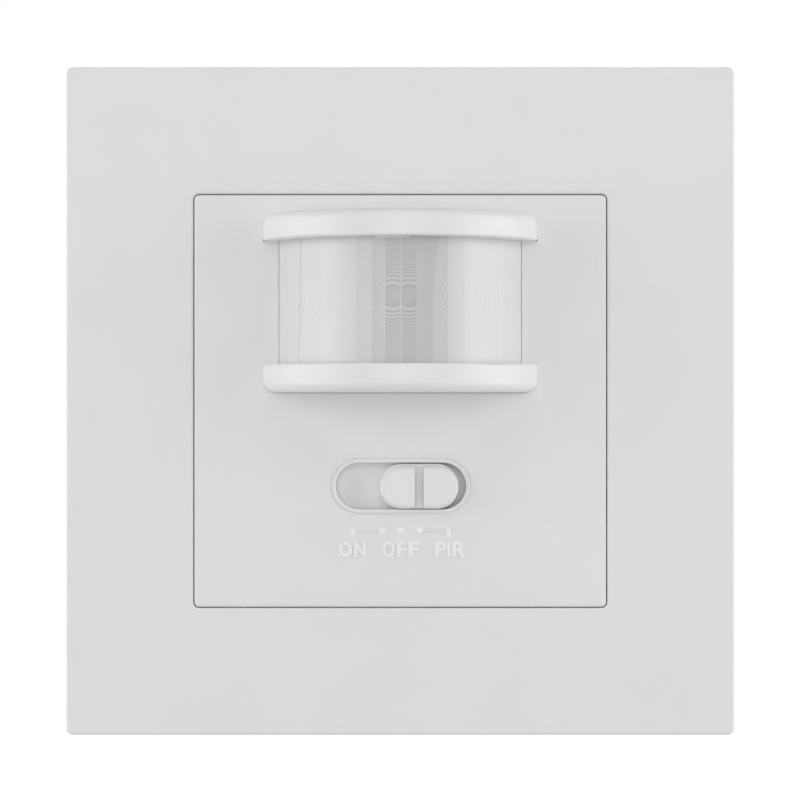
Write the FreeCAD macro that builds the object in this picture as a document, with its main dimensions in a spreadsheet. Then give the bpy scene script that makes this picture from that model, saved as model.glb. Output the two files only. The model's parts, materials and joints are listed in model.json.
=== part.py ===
import FreeCAD, Part
import math
import operator
import os
from types import SimpleNamespace

import Sketcher

# A flush-mounted wall switch with a motion sensor. All sizes are in millimetres.
# X is to the right, Z is up, the wall is the plane Y = 0 and the front faces -Y.
# A level is a height above the wall, counted towards the viewer, so what lies in the wall box has
# negative levels.

DRIVING_SIZES = {
    # outer frame
    "frame_border": 15.4,
    "frame_level": 9.5,
    "frame_skin": 1.8,
    "frame_corner": 0.8,
    "frame_round": 0.32,
    "inner_rim_wall": 1.6,
    "inner_rim_level": 4.2,
    "rib_thickness": 1.2,
    "rib_offset": 15.0,
    "rib_level": 4.6,
    "seat_width": 6.0,
    # cover plate
    "plate_side": 50.0,
    "plate_gap": 0.1,
    "plate_thickness": 2.0,
    "plate_corner": 0.6,
    "plate_round": 0.35,
    "plate_rim_wall": 1.2,
    "plate_rim_depth": 2.0,
    "clip_width": 6.0,
    "clip_wall": 0.8,
    "clip_offset": 13.0,
    "clip_end_level": 1.6,
    "window_clearance": 0.06,
    # sensor head
    "head_top_inset": 2.4,
    "head_height": 21.6,
    "upper_visor": 3.25,
    "lower_visor": 3.46,
    "visor_half_width": 16.55,
    "visor_radius": 18.4,
    "visor_corner": 1.7,
    "visor_round": 1.2,
    "visor_inner_round": 0.3,
    "head_axis_depth": 6.2,
    "head_flange": 1.0,
    "head_flange_reach": 0.9,
    # lens and retainer
    "lens_half_width": 14.68,
    "lens_radius": 16.0,
    "lens_wall": 0.6,
    "lens_tuck": 0.8,
    "lens_foot": 0.6,
    "lens_foot_reach": 1.5,
    "retainer_thickness": 1.0,
    "retainer_wall": 0.9,
    "retainer_inset": 1.6,
    # knob and its slot
    "slot_x": 0.1,
    "slot_level": -10.3,
    "slot_length": 15.8,
    "slot_height": 5.7,
    "slot_ring_width": 0.45,
    "slot_ring_proud": 0.2,
    "slot_seam_width": 0.15,
    "slot_seam_depth": 0.08,
    "knob_length": 9.4,
    "knob_height": 5.1,
    "knob_drop": 0.05,
    "knob_face_drop": 0.1,
    "knob_proud": 1.7,
    "knob_round": 0.5,
    "knob_sill_length": 9.6,
    "knob_sill_height": 5.45,
    "knob_sill_depth": 0.3,
    "knob_groove": 1.05,
    "knob_groove_depth": 1.4,
    "knob_groove_round": 0.3,
    "knob_pitch": 2.3,
    "skirt_length": 21.0,
    "skirt_height": 8.0,
    "skirt_thickness": 1.0,
    "skirt_gap": 0.1,
    "rail_wall": 1.2,
    "rail_lip": 0.7,
    "rail_lip_thickness": 0.4,
    "boss_length": 5.0,
    "boss_height": 4.0,
    "boss_end_level": 3.9,
    # chassis
    "chassis_gap": 1.25,
    "chassis_wall": 1.2,
    "chassis_level": 4.6,
    "chassis_corner": 1.5,
    "post_radius": 1.2,
    "post_inset": 1.3,
    "peg_radius": 1.6,
    "peg_inset_x": 1.8,
    "peg_inset_z": 1.7,
    "sensor_window_half": 10.6,
    "sensor_window_height": 12.0,
    # strap
    "strap_margin": 5.5,
    "strap_thickness": 1.0,
    "strap_chamfer": 12.0,
    "strap_edge": 2.0,
    "strap_edge_length": 36.0,
    "box_screw_spacing": 60.0,
    "box_slot_length": 5.4,
    "box_slot_width": 4.2,
    # rear housing
    "housing_half_width": 16.5,
    "housing_half_height": 22.0,
    "housing_depth": 26.0,
    "housing_wall": 1.6,
    "housing_corner": 2.0,
    "boss_inset": 2.3,
    "boss_z": 14.0,
    "screw_boss_radius": 2.2,
    "screw_boss_depth": 12.0,
    "wire_hole_radius": 1.5,
    "vent_width": 1.2,
    "vent_start": 4.8,
    "vent_end_gap": 6.4,
    # screws
    "housing_screw_radius": 1.1,
    "housing_screw_head": 2.1,
    "housing_screw_head_height": 1.3,
    "housing_screw_length": 9.0,
    "board_screw_radius": 0.9,
    "board_screw_head": 1.7,
    "board_screw_head_height": 1.0,
    "board_screw_length": 3.2,
    "thread_clearance": 0.05,
    "hole_clearance": 0.2,
    "drive_slot": 0.7,
    "drive_margin": 0.55,
    # claws
    "claw_pivot_gap": 2.1,
    "claw_pivot_depth": 2.2,
    "claw_pin_radius": 1.0,
    "claw_knuckle_radius": 1.8,
    "claw_half_width": 4.0,
    "claw_plate": 1.2,
    "claw_foot_depth": 14.8,
    "claw_foot_reach": 9.2,
    "claw_tooth": 1.0,
    "claw_screw_offset": 5.2,
    "claw_screw_radius": 1.45,
    "claw_screw_head": 2.5,
    "claw_screw_head_height": 1.6,
    "claw_screw_length": 20.0,
    "claw_slot_travel": 3.5,
    "ear_thickness": 1.0,
    "ear_half_width": 1.6,
    "running_clearance": 0.05,
    # boards
    "board_thickness": 1.6,
    "board_clearance": 0.7,
    "sensor_board_level": -1.0,
    "power_board_inset": 8.0,
    "power_post_radius": 2.0,
    "power_post_inset_x": 2.2,
    "power_post_inset_z": 2.3,
    # pyroelectric sensor and light sensor
    "optics_lift": 0.525,
    "pyro_radius": 4.15,
    "pyro_flange_radius": 4.6,
    "pyro_flange": 0.5,
    "pyro_seat": 0.8,
    "pyro_height": 4.2,
    "pyro_wall": 0.3,
    "pyro_window_width": 4.0,
    "pyro_window_height": 3.0,
    "pyro_window_thickness": 0.4,
    "pyro_leg_radius": 0.22,
    "pyro_leg_circle": 2.54,
    "light_sensor_x": 8.2,
    "light_sensor_radius": 1.5,
    "light_sensor_length": 3.4,
    "light_sensor_lift": 1.6,
    "light_sensor_round": 1.2,
    "light_sensor_pitch": 1.8,
    # slide switch
    "switch_case_length": 11.4,
    "switch_case_height": 5.2,
    "switch_case_rise": 4.0,
    "switch_case_wall": 0.4,
    "switch_base": 0.8,
    "lever_length": 2.2,
    "lever_height": 1.8,
    "lever_end_level": 6.1,
    "lever_foot_length": 5.0,
    "lever_foot_height": 3.0,
    "lever_foot": 1.2,
    "contact_thickness": 0.4,
    "slide_clearance": 0.15,
    # trimmers
    "trimmer_inset": 3.8,
    "trimmer_half": 3.0,
    "trimmer_base": 2.6,
    "trimmer_disc_radius": 2.5,
    "trimmer_disc": 0.8,
    "trimmer_shaft_radius": 1.9,
    "trimmer_end_level": 5.4,
    "trimmer_hub_radius": 1.0,
    "trimmer_hub": 1.4,
    "trimmer_slot_depth": 0.9,
    # parts on the boards
    "chip_length": 9.9,
    "chip_width": 3.9,
    "chip_height": 1.5,
    "chip_above_switch": 11.55,
    "chip_lead_pitch": 1.27,
    "chip_lead_width": 0.42,
    "chip_lead_reach": 1.0,
    "chip_part_length": 2.0,
    "chip_part_width": 1.25,
    "chip_part_height": 0.6,
    "chip_part_x": 9.4,
    "chip_part_pitch": 2.2,
    "lead_radius": 0.35,
    "lead_overhang": 1.05,
    "leg_radius": 0.28,
    "leg_inset": 0.5,
    "case_corner": 0.8,
    "part_gap": 0.5,
    "relay_length": 20.0,
    "relay_width": 7.4,
    "relay_height": 12.0,
    "film_capacitor_length": 16.0,
    "film_capacitor_width": 7.4,
    "film_capacitor_height": 12.0,
    "can_capacitor_radius": 3.2,
    "can_capacitor_neck": 2.95,
    "can_capacitor_crimp": 1.6,
    "can_capacitor_height": 11.5,
    "can_capacitor_x": 4.4,
    "varistor_radius": 3.6,
    "varistor_thickness": 2.8,
    "varistor_inset": 2.2,
    "fuse_radius": 1.5,
    "fuse_length": 6.0,
    "fuse_inset": 2.6,
    "diode_radius": 1.2,
    "diode_length": 4.0,
    "diode_pitch": 5.0,
    "diode_above_link": 5.6,
    "mains_above_diodes": 8.4,
    "wire_rise": 0.4,
    "link_inset": 2.1,
    "link_pitch": 2.54,
    "link_pin": 0.32,
    "link_header": 2.5,
    # terminals
    "pole_pitch": 6.0,
    "block_length": 19.4,
    "block_height": 10.0,
    "block_end_gap": 0.4,
    "block_rise": 10.0,
    "block_wall": 0.8,
    "cavity_width": 5.0,
    "cage_width": 4.6,
    "cage_wall": 0.7,
    "cage_length": 6.0,
    "cage_rise": 4.6,
    "cage_travel": 1.6,
    "bar_width": 2.4,
    "bar_thickness": 0.6,
    "bar_gap": 2.0,
    "terminal_screw_radius": 1.2,
    "terminal_screw_head": 1.9,
    "terminal_screw_head_height": 1.5,
}

POLE_COUNT = 3
HEADER_PIN_COUNT = 5
CHIP_LEAD_COUNT = 7
DIODE_COUNT = 3
CHIP_PART_COUNT = 3
VENT_COUNT = 5
CLAW_TOOTH_COUNT = 4

OPERATIONS = {"+": operator.add, "-": operator.sub, "*": operator.mul, "/": operator.truediv}


class Size:
    """A length that knows its number and the sheet expression that gives it."""

    def __init__(self, number, text):
        self.number = number
        self.text = text

    def __neg__(self):
        return combined(0.0, "-", self)

    def __add__(self, other):
        return combined(self, "+", other)

    def __radd__(self, other):
        return combined(other, "+", self)

    def __sub__(self, other):
        return combined(self, "-", other)

    def __rsub__(self, other):
        return combined(other, "-", self)

    def __mul__(self, other):
        return combined(self, "*", other)

    def __rmul__(self, other):
        return combined(other, "*", self)

    def __truediv__(self, other):
        return combined(self, "/", other)


def as_size(value):
    """A plain number becomes a size with the same value."""
    return value if isinstance(value, Size) else Size(float(value), f"({float(value)})")


def combined(left, sign, right):
    """One size worked out from two others."""
    left = as_size(left)
    right = as_size(right)
    number = OPERATIONS[sign](left.number, right.number)
    return Size(number, f"({left.text} {sign} {right.text})")


doc = FreeCAD.newDocument("pir_motion_sensor")
sheet = doc.addObject("Spreadsheet::Sheet", "Sizes")
for line, (alias, number) in enumerate(DRIVING_SIZES.items(), start=1):
    sheet.set(f"A{line}", alias)
    sheet.set(f"B{line}", str(number))
    sheet.setAlias(f"B{line}", alias)
doc.recompute()
s = SimpleNamespace(**{alias: Size(float(sheet.get(alias)), f"Sizes.{alias}") for alias in DRIVING_SIZES})

FRONT = "XZ_Plane"
PLAN = "XY_Plane"
SIDE = "YZ_Plane"
parts = []


# Sketch outlines. Each of these gives a function that draws one closed loop and ties it to the sheet.

def tie(sketch, kind, value, *place):
    """Adds one measured constraint and binds it to the sheet."""
    value = as_size(value)
    index = sketch.addConstraint(Sketcher.Constraint(kind, *place, value.number))
    sketch.setExpression(f"Constraints[{index}]", value.text)


def tie_point(sketch, curve, end, across, up):
    tie(sketch, "DistanceX", across, -1, 1, curve, end)
    tie(sketch, "DistanceY", up, -1, 1, curve, end)


def point(across, up):
    return FreeCAD.Vector(as_size(across).number, as_size(up).number, 0)


def polygon(*corners):
    """A loop of straight lines through the given corners."""
    def draw(sketch):
        ends = corners[1:] + corners[:1]
        lines = []
        for start, end in zip(corners, ends):
            lines.append(sketch.addGeometry(Part.LineSegment(point(*start), point(*end)), False))
        for number, line in enumerate(lines):
            follower = lines[(number + 1) % len(lines)]
            sketch.addConstraint(Sketcher.Constraint("Coincident", line, 2, follower, 1))
            tie_point(sketch, line, 1, *corners[number])
    return draw


def box(low_x, high_x, low_z, high_z):
    return polygon((low_x, low_z), (high_x, low_z), (high_x, high_z), (low_x, high_z))


def square(half):
    return box(-half, half, -half, half)


def centred_box(x, z, length, height):
    return box(x - length / 2, x + length / 2, z - height / 2, z + height / 2)


def disc(x, z, radius):
    def draw(sketch):
        circle = Part.Circle(point(x, z), FreeCAD.Vector(0, 0, 1), as_size(radius).number)
        curve = sketch.addGeometry(circle, False)
        tie_point(sketch, curve, 3, x, z)
        tie(sketch, "Radius", radius, curve)
    return draw


def add_arc(sketch, x, z, radius, start_turn, end_turn):
    """An arc with its centre and radius, its ends given in degrees."""
    circle = Part.Circle(point(x, z), FreeCAD.Vector(0, 0, 1), as_size(radius).number)
    arc = Part.ArcOfCircle(circle, math.radians(start_turn), math.radians(end_turn))
    return sketch.addGeometry(arc, False)


def rounded(low_x, high_x, low_z, high_z, radius):
    """A box whose four corners are round."""
    def draw(sketch):
        middles = (
            (high_x - radius, high_z - radius, 0),
            (low_x + radius, high_z - radius, 90),
            (low_x + radius, low_z + radius, 180),
            (high_x - radius, low_z + radius, 270),
        )
        arcs = [add_arc(sketch, x, z, radius, turn, turn + 90) for x, z, turn in middles]
        lines = []
        for arc, follower in zip(arcs, arcs[1:] + arcs[:1]):
            start = sketch.getPoint(arc, 2)
            end = sketch.getPoint(follower, 1)
            lines.append(sketch.addGeometry(Part.LineSegment(start, end), False))
        for number, line in enumerate(lines):
            sketch.addConstraint(Sketcher.Constraint("Tangent", arcs[number], 2, line, 1))
            sketch.addConstraint(Sketcher.Constraint("Tangent", line, 2, arcs[(number + 1) % 4], 1))
        for line in lines[0::2]:
            sketch.addConstraint(Sketcher.Constraint("Horizontal", line))
        for line in lines[1::2]:
            sketch.addConstraint(Sketcher.Constraint("Vertical", line))
        for arc in arcs[1:]:
            sketch.addConstraint(Sketcher.Constraint("Equal", arcs[0], arc))
        tie(sketch, "Radius", radius, arcs[0])
        tie(sketch, "DistanceY", high_z, -1, 1, lines[0], 1)
        tie(sketch, "DistanceX", low_x, -1, 1, lines[1], 1)
        tie(sketch, "DistanceY", low_z, -1, 1, lines[2], 1)
        tie(sketch, "DistanceX", high_x, -1, 1, lines[3], 1)
    return draw


def rounded_square(half, radius):
    return rounded(-half, half, -half, half, radius)


def stadium(x, z, length, height):
    """A slot outline along X with round ends."""
    def draw(sketch):
        radius = height / 2
        reach = length / 2 - radius
        right = add_arc(sketch, x + reach, z, radius, -90, 90)
        left = add_arc(sketch, x - reach, z, radius, 90, 270)
        top = sketch.addGeometry(Part.LineSegment(sketch.getPoint(right, 2), sketch.getPoint(left, 1)), False)
        low = sketch.addGeometry(Part.LineSegment(sketch.getPoint(left, 2), sketch.getPoint(right, 1)), False)
        for first, second in ((right, top), (top, left), (left, low), (low, right)):
            sketch.addConstraint(Sketcher.Constraint("Tangent", first, 2, second, 1))
        sketch.addConstraint(Sketcher.Constraint("Horizontal", top))
        sketch.addConstraint(Sketcher.Constraint("Equal", right, left))
        tie(sketch, "Radius", radius, right)
        tie_point(sketch, right, 3, x + reach, z)
        tie(sketch, "DistanceX", x - reach, -1, 1, left, 3)
    return draw


def upright_stadium(x, z, width, length):
    """A slot outline along Z with round ends."""
    def draw(sketch):
        radius = width / 2
        reach = length / 2 - radius
        high = add_arc(sketch, x, z + reach, radius, 0, 180)
        low = add_arc(sketch, x, z - reach, radius, 180, 360)
        left = sketch.addGeometry(Part.LineSegment(sketch.getPoint(high, 2), sketch.getPoint(low, 1)), False)
        right = sketch.addGeometry(Part.LineSegment(sketch.getPoint(low, 2), sketch.getPoint(high, 1)), False)
        for first, second in ((high, left), (left, low), (low, right), (right, high)):
            sketch.addConstraint(Sketcher.Constraint("Tangent", first, 2, second, 1))
        sketch.addConstraint(Sketcher.Constraint("Vertical", left))
        sketch.addConstraint(Sketcher.Constraint("Equal", high, low))
        tie(sketch, "Radius", radius, high)
        tie_point(sketch, high, 3, x, z + reach)
        tie(sketch, "DistanceY", z - reach, -1, 1, low, 3)
    return draw


def bow(half_width, back_level, axis_level, radius):
    """A plan outline: a straight back, two straight sides and a round front about an axis."""
    def draw(sketch):
        half = as_size(half_width).number
        centre = -as_size(axis_level).number
        side_turn = math.degrees(math.asin(half / as_size(radius).number))
        arc = add_arc(sketch, 0, -axis_level, radius, 270 - side_turn, 270 + side_turn)
        left_front = sketch.getPoint(arc, 1)
        right_front = sketch.getPoint(arc, 2)
        left_back = point(-half_width, -back_level)
        right_back = point(half_width, -back_level)
        right = sketch.addGeometry(Part.LineSegment(right_front, right_back), False)
        back = sketch.addGeometry(Part.LineSegment(right_back, left_back), False)
        left = sketch.addGeometry(Part.LineSegment(left_back, left_front), False)
        for first, second in ((arc, right), (right, back), (back, left), (left, arc)):
            sketch.addConstraint(Sketcher.Constraint("Coincident", first, 2, second, 1))
        sketch.addConstraint(Sketcher.Constraint("Vertical", right))
        sketch.addConstraint(Sketcher.Constraint("Vertical", left))
        tie(sketch, "Radius", radius, arc)
        tie_point(sketch, arc, 3, 0, -axis_level)
        tie_point(sketch, back, 1, half_width, -back_level)
        tie_point(sketch, left, 1, -half_width, -back_level)
    return draw


# Solid features

def new_part(label):
    body = doc.addObject("PartDesign::Body", label)
    body.Label = label
    parts.append(body)
    return body


def add_sketch(body, plane, offset, loops):
    sketch = body.newObject("Sketcher::SketchObject", "outline")
    base = next(item for item in body.Origin.OriginFeatures if item.Role == plane)
    sketch.AttachmentSupport = (base, [""])
    sketch.MapMode = "FlatFace"
    sketch.setExpression("AttachmentOffset.Base.z", as_size(offset).text)
    for draw in loops:
        draw(sketch)
    return sketch


def pad(body, plane, low, high, *loops):
    """Adds material between two offsets from a plane. On FRONT the offsets are levels."""
    feature = body.newObject("PartDesign::Pad", "pad")
    sketch = add_sketch(body, plane, low, loops)
    feature.Profile = sketch
    feature.setExpression("Length", (as_size(high) - low).text)
    body.Tip = feature
    return feature


def pocket(body, plane, low, high, *loops):
    """Takes material away between two offsets from a plane."""
    feature = body.newObject("PartDesign::Pocket", "pocket")
    sketch = add_sketch(body, plane, high, loops)
    feature.Profile = sketch
    feature.setExpression("Length", (as_size(high) - low).text)
    body.Tip = feature
    return feature


def round_edges(body, radius, wanted):
    """Rounds the edges that the test picks out of the body as it is now."""
    doc.recompute()
    base = body.Tip
    names = [f"Edge{number}" for number, edge in enumerate(base.Shape.Edges, start=1) if wanted(edge)]
    feature = body.newObject("PartDesign::Fillet", "fillet")
    feature.Base = (base, names)
    feature.setExpression("Radius", as_size(radius).text)
    body.Tip = feature
    return feature


def near(value, size):
    return abs(value - as_size(size).number) < 0.01


def edge_is_flat_at(edge, size):
    """True for an edge that lies at one level."""
    level = as_size(size).number
    return near(-edge.BoundBox.YMin, level) and near(-edge.BoundBox.YMax, level)


# Levels and places that several pieces share

SIGNS = (-1, 1)
strap_level = s.strap_thickness
plate_half = s.plate_side / 2
opening_half = plate_half + s.plate_gap
plate_back = s.frame_level - s.plate_thickness
rim_inside = plate_half - s.plate_rim_wall

head_top = plate_half - s.head_top_inset
head_bottom = head_top - s.head_height
lens_high = head_top - s.upper_visor
lens_low = head_bottom + s.lower_visor
lens_bottom = lens_low - s.lens_tuck
lens_top = lens_high + s.lens_tuck
head_axis = s.frame_level - s.head_axis_depth
flange_back = plate_back - s.head_flange
foot_back = flange_back - s.lens_foot
retainer_back = foot_back - s.retainer_thickness
optics_z = (lens_low + lens_high) / 2 + s.optics_lift

skirt_front = plate_back - s.skirt_gap
skirt_back = skirt_front - s.skirt_thickness
rail_back = skirt_back - s.skirt_gap - s.rail_lip_thickness
knob_z = s.slot_level - s.knob_drop
knob_x = s.knob_pitch
chip_z = knob_z + s.chip_above_switch

chassis_half = rim_inside - s.chassis_gap
chassis_inside = s.chassis_level - s.chassis_wall
post_place = chassis_half - s.post_inset
boss_x = chassis_half - s.boss_inset

housing_floor = s.housing_wall - s.housing_depth
inner_half_width = s.housing_half_width - s.housing_wall
inner_half_height = s.housing_half_height - s.housing_wall
board_half_width = inner_half_width - s.board_clearance
board_half_height = inner_half_height - s.board_clearance
sensor_board_back = s.sensor_board_level - s.board_thickness
power_board_level = s.power_board_inset - s.housing_depth
power_board_back = power_board_level - s.board_thickness
peg_x = board_half_width - s.peg_inset_x
peg_z = board_half_height - s.peg_inset_z
power_post_x = board_half_width - s.power_post_inset_x
power_post_z = board_half_height - s.power_post_inset_z
trimmer_x = board_half_width - s.trimmer_inset

# The parts on the power board stand in rows, one above the other from its lower edge
link_z = s.link_inset - board_half_height
diode_z = link_z + s.diode_above_link
mains_row_z = diode_z + s.mains_above_diodes
relay_bottom = mains_row_z + s.film_capacitor_width / 2 + s.part_gap
can_capacitor_z = relay_bottom + s.relay_width + s.part_gap + s.can_capacitor_radius
varistor_x = board_half_width - s.varistor_inset
fuse_x = board_half_width - s.fuse_inset

claw_pivot_x = s.housing_half_width + s.claw_pivot_gap
claw_screw_x = claw_pivot_x + s.claw_screw_offset


def row(count, pitch):
    """Places at an even pitch on both sides of zero."""
    return [(number - (count - 1) / 2) * pitch for number in range(count)]


# Levels and places in the terminal block

pole_places = row(POLE_COUNT, s.pole_pitch)
block_back = power_board_back - s.block_rise
cavity_front = power_board_back - s.block_wall
cage_front = cavity_front - s.running_clearance
cage_wire_side = cage_front - s.cage_wall
bar_front = cage_wire_side - s.bar_gap
bar_back = bar_front - s.bar_thickness
cage_back = cage_front - s.cage_rise
screw_head_front = cage_back - s.cage_travel - s.running_clearance
wire_depth = s.bar_gap / 2 - cage_wire_side
block_bottom = s.block_end_gap - inner_half_height
block_top = block_bottom + s.block_height
pole_z = block_bottom + s.block_wall + s.cage_length / 2


def outer_frame():
    body = new_part("outer_frame")
    half = opening_half + s.frame_border
    rim_outside = opening_half + s.inner_rim_wall
    pad(body, FRONT, 0, s.frame_level, rounded_square(half, s.frame_corner))
    round_edges(body, s.frame_round, lambda edge: edge_is_flat_at(edge, s.frame_level))
    skin_back = s.frame_level - s.frame_skin
    pocket(body, FRONT, 0, s.inner_rim_level, square(half - s.frame_skin))
    pocket(body, FRONT, s.inner_rim_level, skin_back, square(half - s.frame_skin), square(rim_outside))
    opening = rounded_square(opening_half, s.plate_corner + s.plate_gap)
    pocket(body, FRONT, s.inner_rim_level, s.frame_level, opening)
    rim_middle = opening_half + s.inner_rim_wall / 2
    seats = []
    ribs = []
    for across in SIGNS:
        for along in SIGNS:
            place = along * s.rib_offset
            seats.append(centred_box(across * rim_middle, place, s.inner_rim_wall, s.seat_width))
            seats.append(centred_box(place, across * rim_middle, s.seat_width, s.inner_rim_wall))
            inner = across * rim_middle
            outer = across * (half - s.frame_skin / 2)
            low = place - s.rib_thickness / 2
            high = place + s.rib_thickness / 2
            ribs.append(box(inner, outer, low, high))
            ribs.append(box(low, high, inner, outer))
    pad(body, FRONT, strap_level, skin_back, *seats)
    pad(body, FRONT, s.rib_level, skin_back + s.frame_skin / 2, *ribs)
    rim_edge = opening_half.number
    round_edges(
        body,
        s.plate_round,
        lambda edge: edge_is_flat_at(edge, s.frame_level)
        and max(abs(edge.BoundBox.XMax), abs(edge.BoundBox.XMin), abs(edge.BoundBox.ZMax)) < rim_edge + 0.01,
    )


def slide_rails(body):
    """Two rails that guide the knob's skirt and hold it from behind."""
    inside = s.skirt_height / 2 + s.slide_clearance
    reach = s.skirt_length / 2 + s.knob_pitch
    for side in SIGNS:
        near_z = knob_z + side * inside
        far_z = near_z + side * s.rail_wall
        lip_z = near_z - side * s.rail_lip
        pad(body, FRONT, rail_back, plate_back, box(-reach, reach, near_z, far_z))
        pad(body, FRONT, rail_back, rail_back + s.rail_lip_thickness, box(-reach, reach, lip_z, far_z))


def cover_plate():
    body = new_part("cover_plate")
    rim_back = plate_back - s.plate_rim_depth
    pad(body, FRONT, plate_back, s.frame_level, rounded_square(plate_half, s.plate_corner))
    round_edges(body, s.plate_round, lambda edge: edge_is_flat_at(edge, s.frame_level))
    ring_length = s.slot_length + 2 * s.slot_ring_width
    ring_height = s.slot_height + 2 * s.slot_ring_width
    ring_front = s.frame_level + s.slot_ring_proud
    ring = stadium(s.slot_x, s.slot_level, ring_length, ring_height)
    seam = stadium(
        s.slot_x, s.slot_level, ring_length + 2 * s.slot_seam_width, ring_height + 2 * s.slot_seam_width,
    )
    pocket(body, FRONT, s.frame_level - s.slot_seam_depth, s.frame_level, seam)
    pad(body, FRONT, s.frame_level - s.plate_thickness / 2, ring_front, ring)
    round_edges(body, s.slot_ring_proud / 2, lambda edge: edge_is_flat_at(edge, ring_front))
    pocket(body, FRONT, plate_back, ring_front, stadium(s.slot_x, s.slot_level, s.slot_length, s.slot_height))
    reach = s.visor_half_width + s.window_clearance
    low = head_bottom - s.window_clearance
    high = head_top + s.window_clearance
    window = rounded(-reach, reach, low, high, s.visor_corner + s.window_clearance)
    pocket(body, FRONT, plate_back, s.frame_level, window)
    ears = []
    for side in SIGNS:
        inner_x = side * (s.lens_half_width + s.window_clearance)
        outer_x = side * (reach + s.window_clearance)
        ears.append(box(inner_x, outer_x, lens_low, lens_high))
    pad(body, FRONT, plate_back, s.frame_level, *ears)
    rim_outline = rounded_square(plate_half, s.plate_corner)
    pad(body, FRONT, rim_back, plate_back, rim_outline, square(rim_inside))
    slide_rails(body)
    clip_inside = rim_inside - s.clip_wall
    for side in SIGNS:
        for place in (-s.clip_offset, s.clip_offset):
            low_z = place - s.clip_width / 2
            high_z = place + s.clip_width / 2
            clip = box(side * clip_inside, side * rim_inside, low_z, high_z)
            pad(body, FRONT, s.clip_end_level, plate_back, clip)


def on_visor_front(edge):
    """True for an edge that bounds the visors' round front."""
    depth = -head_axis.number
    reach = s.visor_radius.number
    ends = [edge.valueAt(edge.FirstParameter), edge.valueAt(edge.LastParameter)]
    return all(abs(math.hypot(end.x, end.y - depth) - reach) < 0.01 for end in ends)


def runs_back_at_corner(edge):
    """True for a straight edge from front to back at one of the head's four corners."""
    bounds = edge.BoundBox
    return bounds.YLength > 1 and bounds.XLength < 0.01 and bounds.ZLength < 0.01


def borders_lens_gap(edge):
    """True for an edge round the gap between the two visors, in front of the flange."""
    bounds = edge.BoundBox
    return bounds.ZLength < 0.01 and (near(bounds.ZMin, lens_low) or near(bounds.ZMin, lens_high)) and (
        -bounds.YMin > flange_back.number + 0.01
    )


def sensor_head():
    body = new_part("sensor_head")
    visor = bow(s.visor_half_width, flange_back, head_axis, s.visor_radius)
    gap_reach = s.visor_half_width + s.visor_round
    front = head_axis + s.visor_radius + s.visor_round
    pad(body, PLAN, head_bottom, head_top, visor)
    round_edges(body, s.visor_corner, runs_back_at_corner)
    round_edges(body, s.visor_round, on_visor_front)
    pocket(body, PLAN, lens_low, lens_high, box(-gap_reach, gap_reach, -front, -flange_back))
    round_edges(body, s.visor_inner_round, borders_lens_gap)
    reach = s.visor_half_width + s.head_flange_reach
    low = head_bottom - s.head_flange_reach
    high = head_top + s.head_flange_reach
    pad(body, FRONT, flange_back, plate_back, box(-reach, reach, low, high))
    lens_room = bow(
        s.lens_half_width + s.window_clearance,
        flange_back,
        head_axis,
        s.lens_radius + s.window_clearance,
    )
    pocket(body, PLAN, lens_bottom - s.window_clearance, lens_top + s.window_clearance, lens_room)


def fresnel_lens():
    body = new_part("fresnel_lens")
    outer = bow(s.lens_half_width, foot_back, head_axis, s.lens_radius)
    inner = bow(s.lens_half_width - s.lens_wall, foot_back, head_axis, s.lens_radius - s.lens_wall)
    pad(body, PLAN, lens_bottom, lens_top, outer)
    reach = s.lens_half_width + s.lens_foot_reach
    low = lens_bottom - s.lens_foot_reach
    high = lens_top + s.lens_foot_reach
    pad(body, FRONT, foot_back, flange_back, box(-reach, reach, low, high))
    pocket(body, PLAN, lens_bottom, lens_top, inner)


def lens_retainer():
    body = new_part("lens_retainer")
    foot_reach = s.lens_half_width + s.lens_foot_reach + s.window_clearance
    foot_low = lens_bottom - s.lens_foot_reach - s.window_clearance
    foot_high = lens_top + s.lens_foot_reach + s.window_clearance
    rim = box(
        -foot_reach - s.retainer_wall, foot_reach + s.retainer_wall,
        foot_low - s.retainer_wall, foot_high + s.retainer_wall,
    )
    pad(body, FRONT, retainer_back, flange_back, rim)
    pocket(body, FRONT, foot_back, flange_back, box(-foot_reach, foot_reach, foot_low, foot_high))
    inside = s.lens_half_width - s.retainer_inset
    opening = box(-inside, inside, lens_bottom + s.retainer_inset, lens_top - s.retainer_inset)
    pocket(body, FRONT, retainer_back, foot_back, opening)


def switch_knob():
    body = new_part("switch_knob")
    top = s.frame_level + s.knob_proud
    sill = s.frame_level - s.knob_sill_depth
    face_z = knob_z - s.knob_face_drop
    pad(body, FRONT, skirt_front, sill, stadium(knob_x, knob_z, s.knob_sill_length, s.knob_sill_height))
    pad(body, FRONT, sill, top, stadium(knob_x, face_z, s.knob_length, s.knob_height))
    round_edges(body, s.knob_round, lambda edge: edge_is_flat_at(edge, top))
    groove = centred_box(knob_x, face_z, s.knob_groove, s.knob_height)
    pocket(body, FRONT, top - s.knob_groove_depth, top, groove)
    round_edges(
        body,
        s.knob_groove_round,
        lambda edge: edge_is_flat_at(edge, top) and edge.BoundBox.XLength < 0.01,
    )
    pad(body, FRONT, skirt_back, skirt_front, centred_box(knob_x, knob_z, s.skirt_length, s.skirt_height))
    pad(body, FRONT, s.boss_end_level, skirt_back, centred_box(knob_x, knob_z, s.boss_length, s.boss_height))
    lever_room = centred_box(
        knob_x, knob_z,
        s.lever_length + 2 * s.slide_clearance,
        s.lever_height + 2 * s.slide_clearance,
    )
    pocket(body, FRONT, s.boss_end_level, s.lever_end_level + s.slide_clearance, lever_room)


def chassis_room():
    """The outline through which the knob's boss slides."""
    length = s.boss_length + 2 * s.knob_pitch + 4 * s.slide_clearance
    return centred_box(0, knob_z, length, s.boss_height + 4 * s.slide_clearance)


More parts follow.
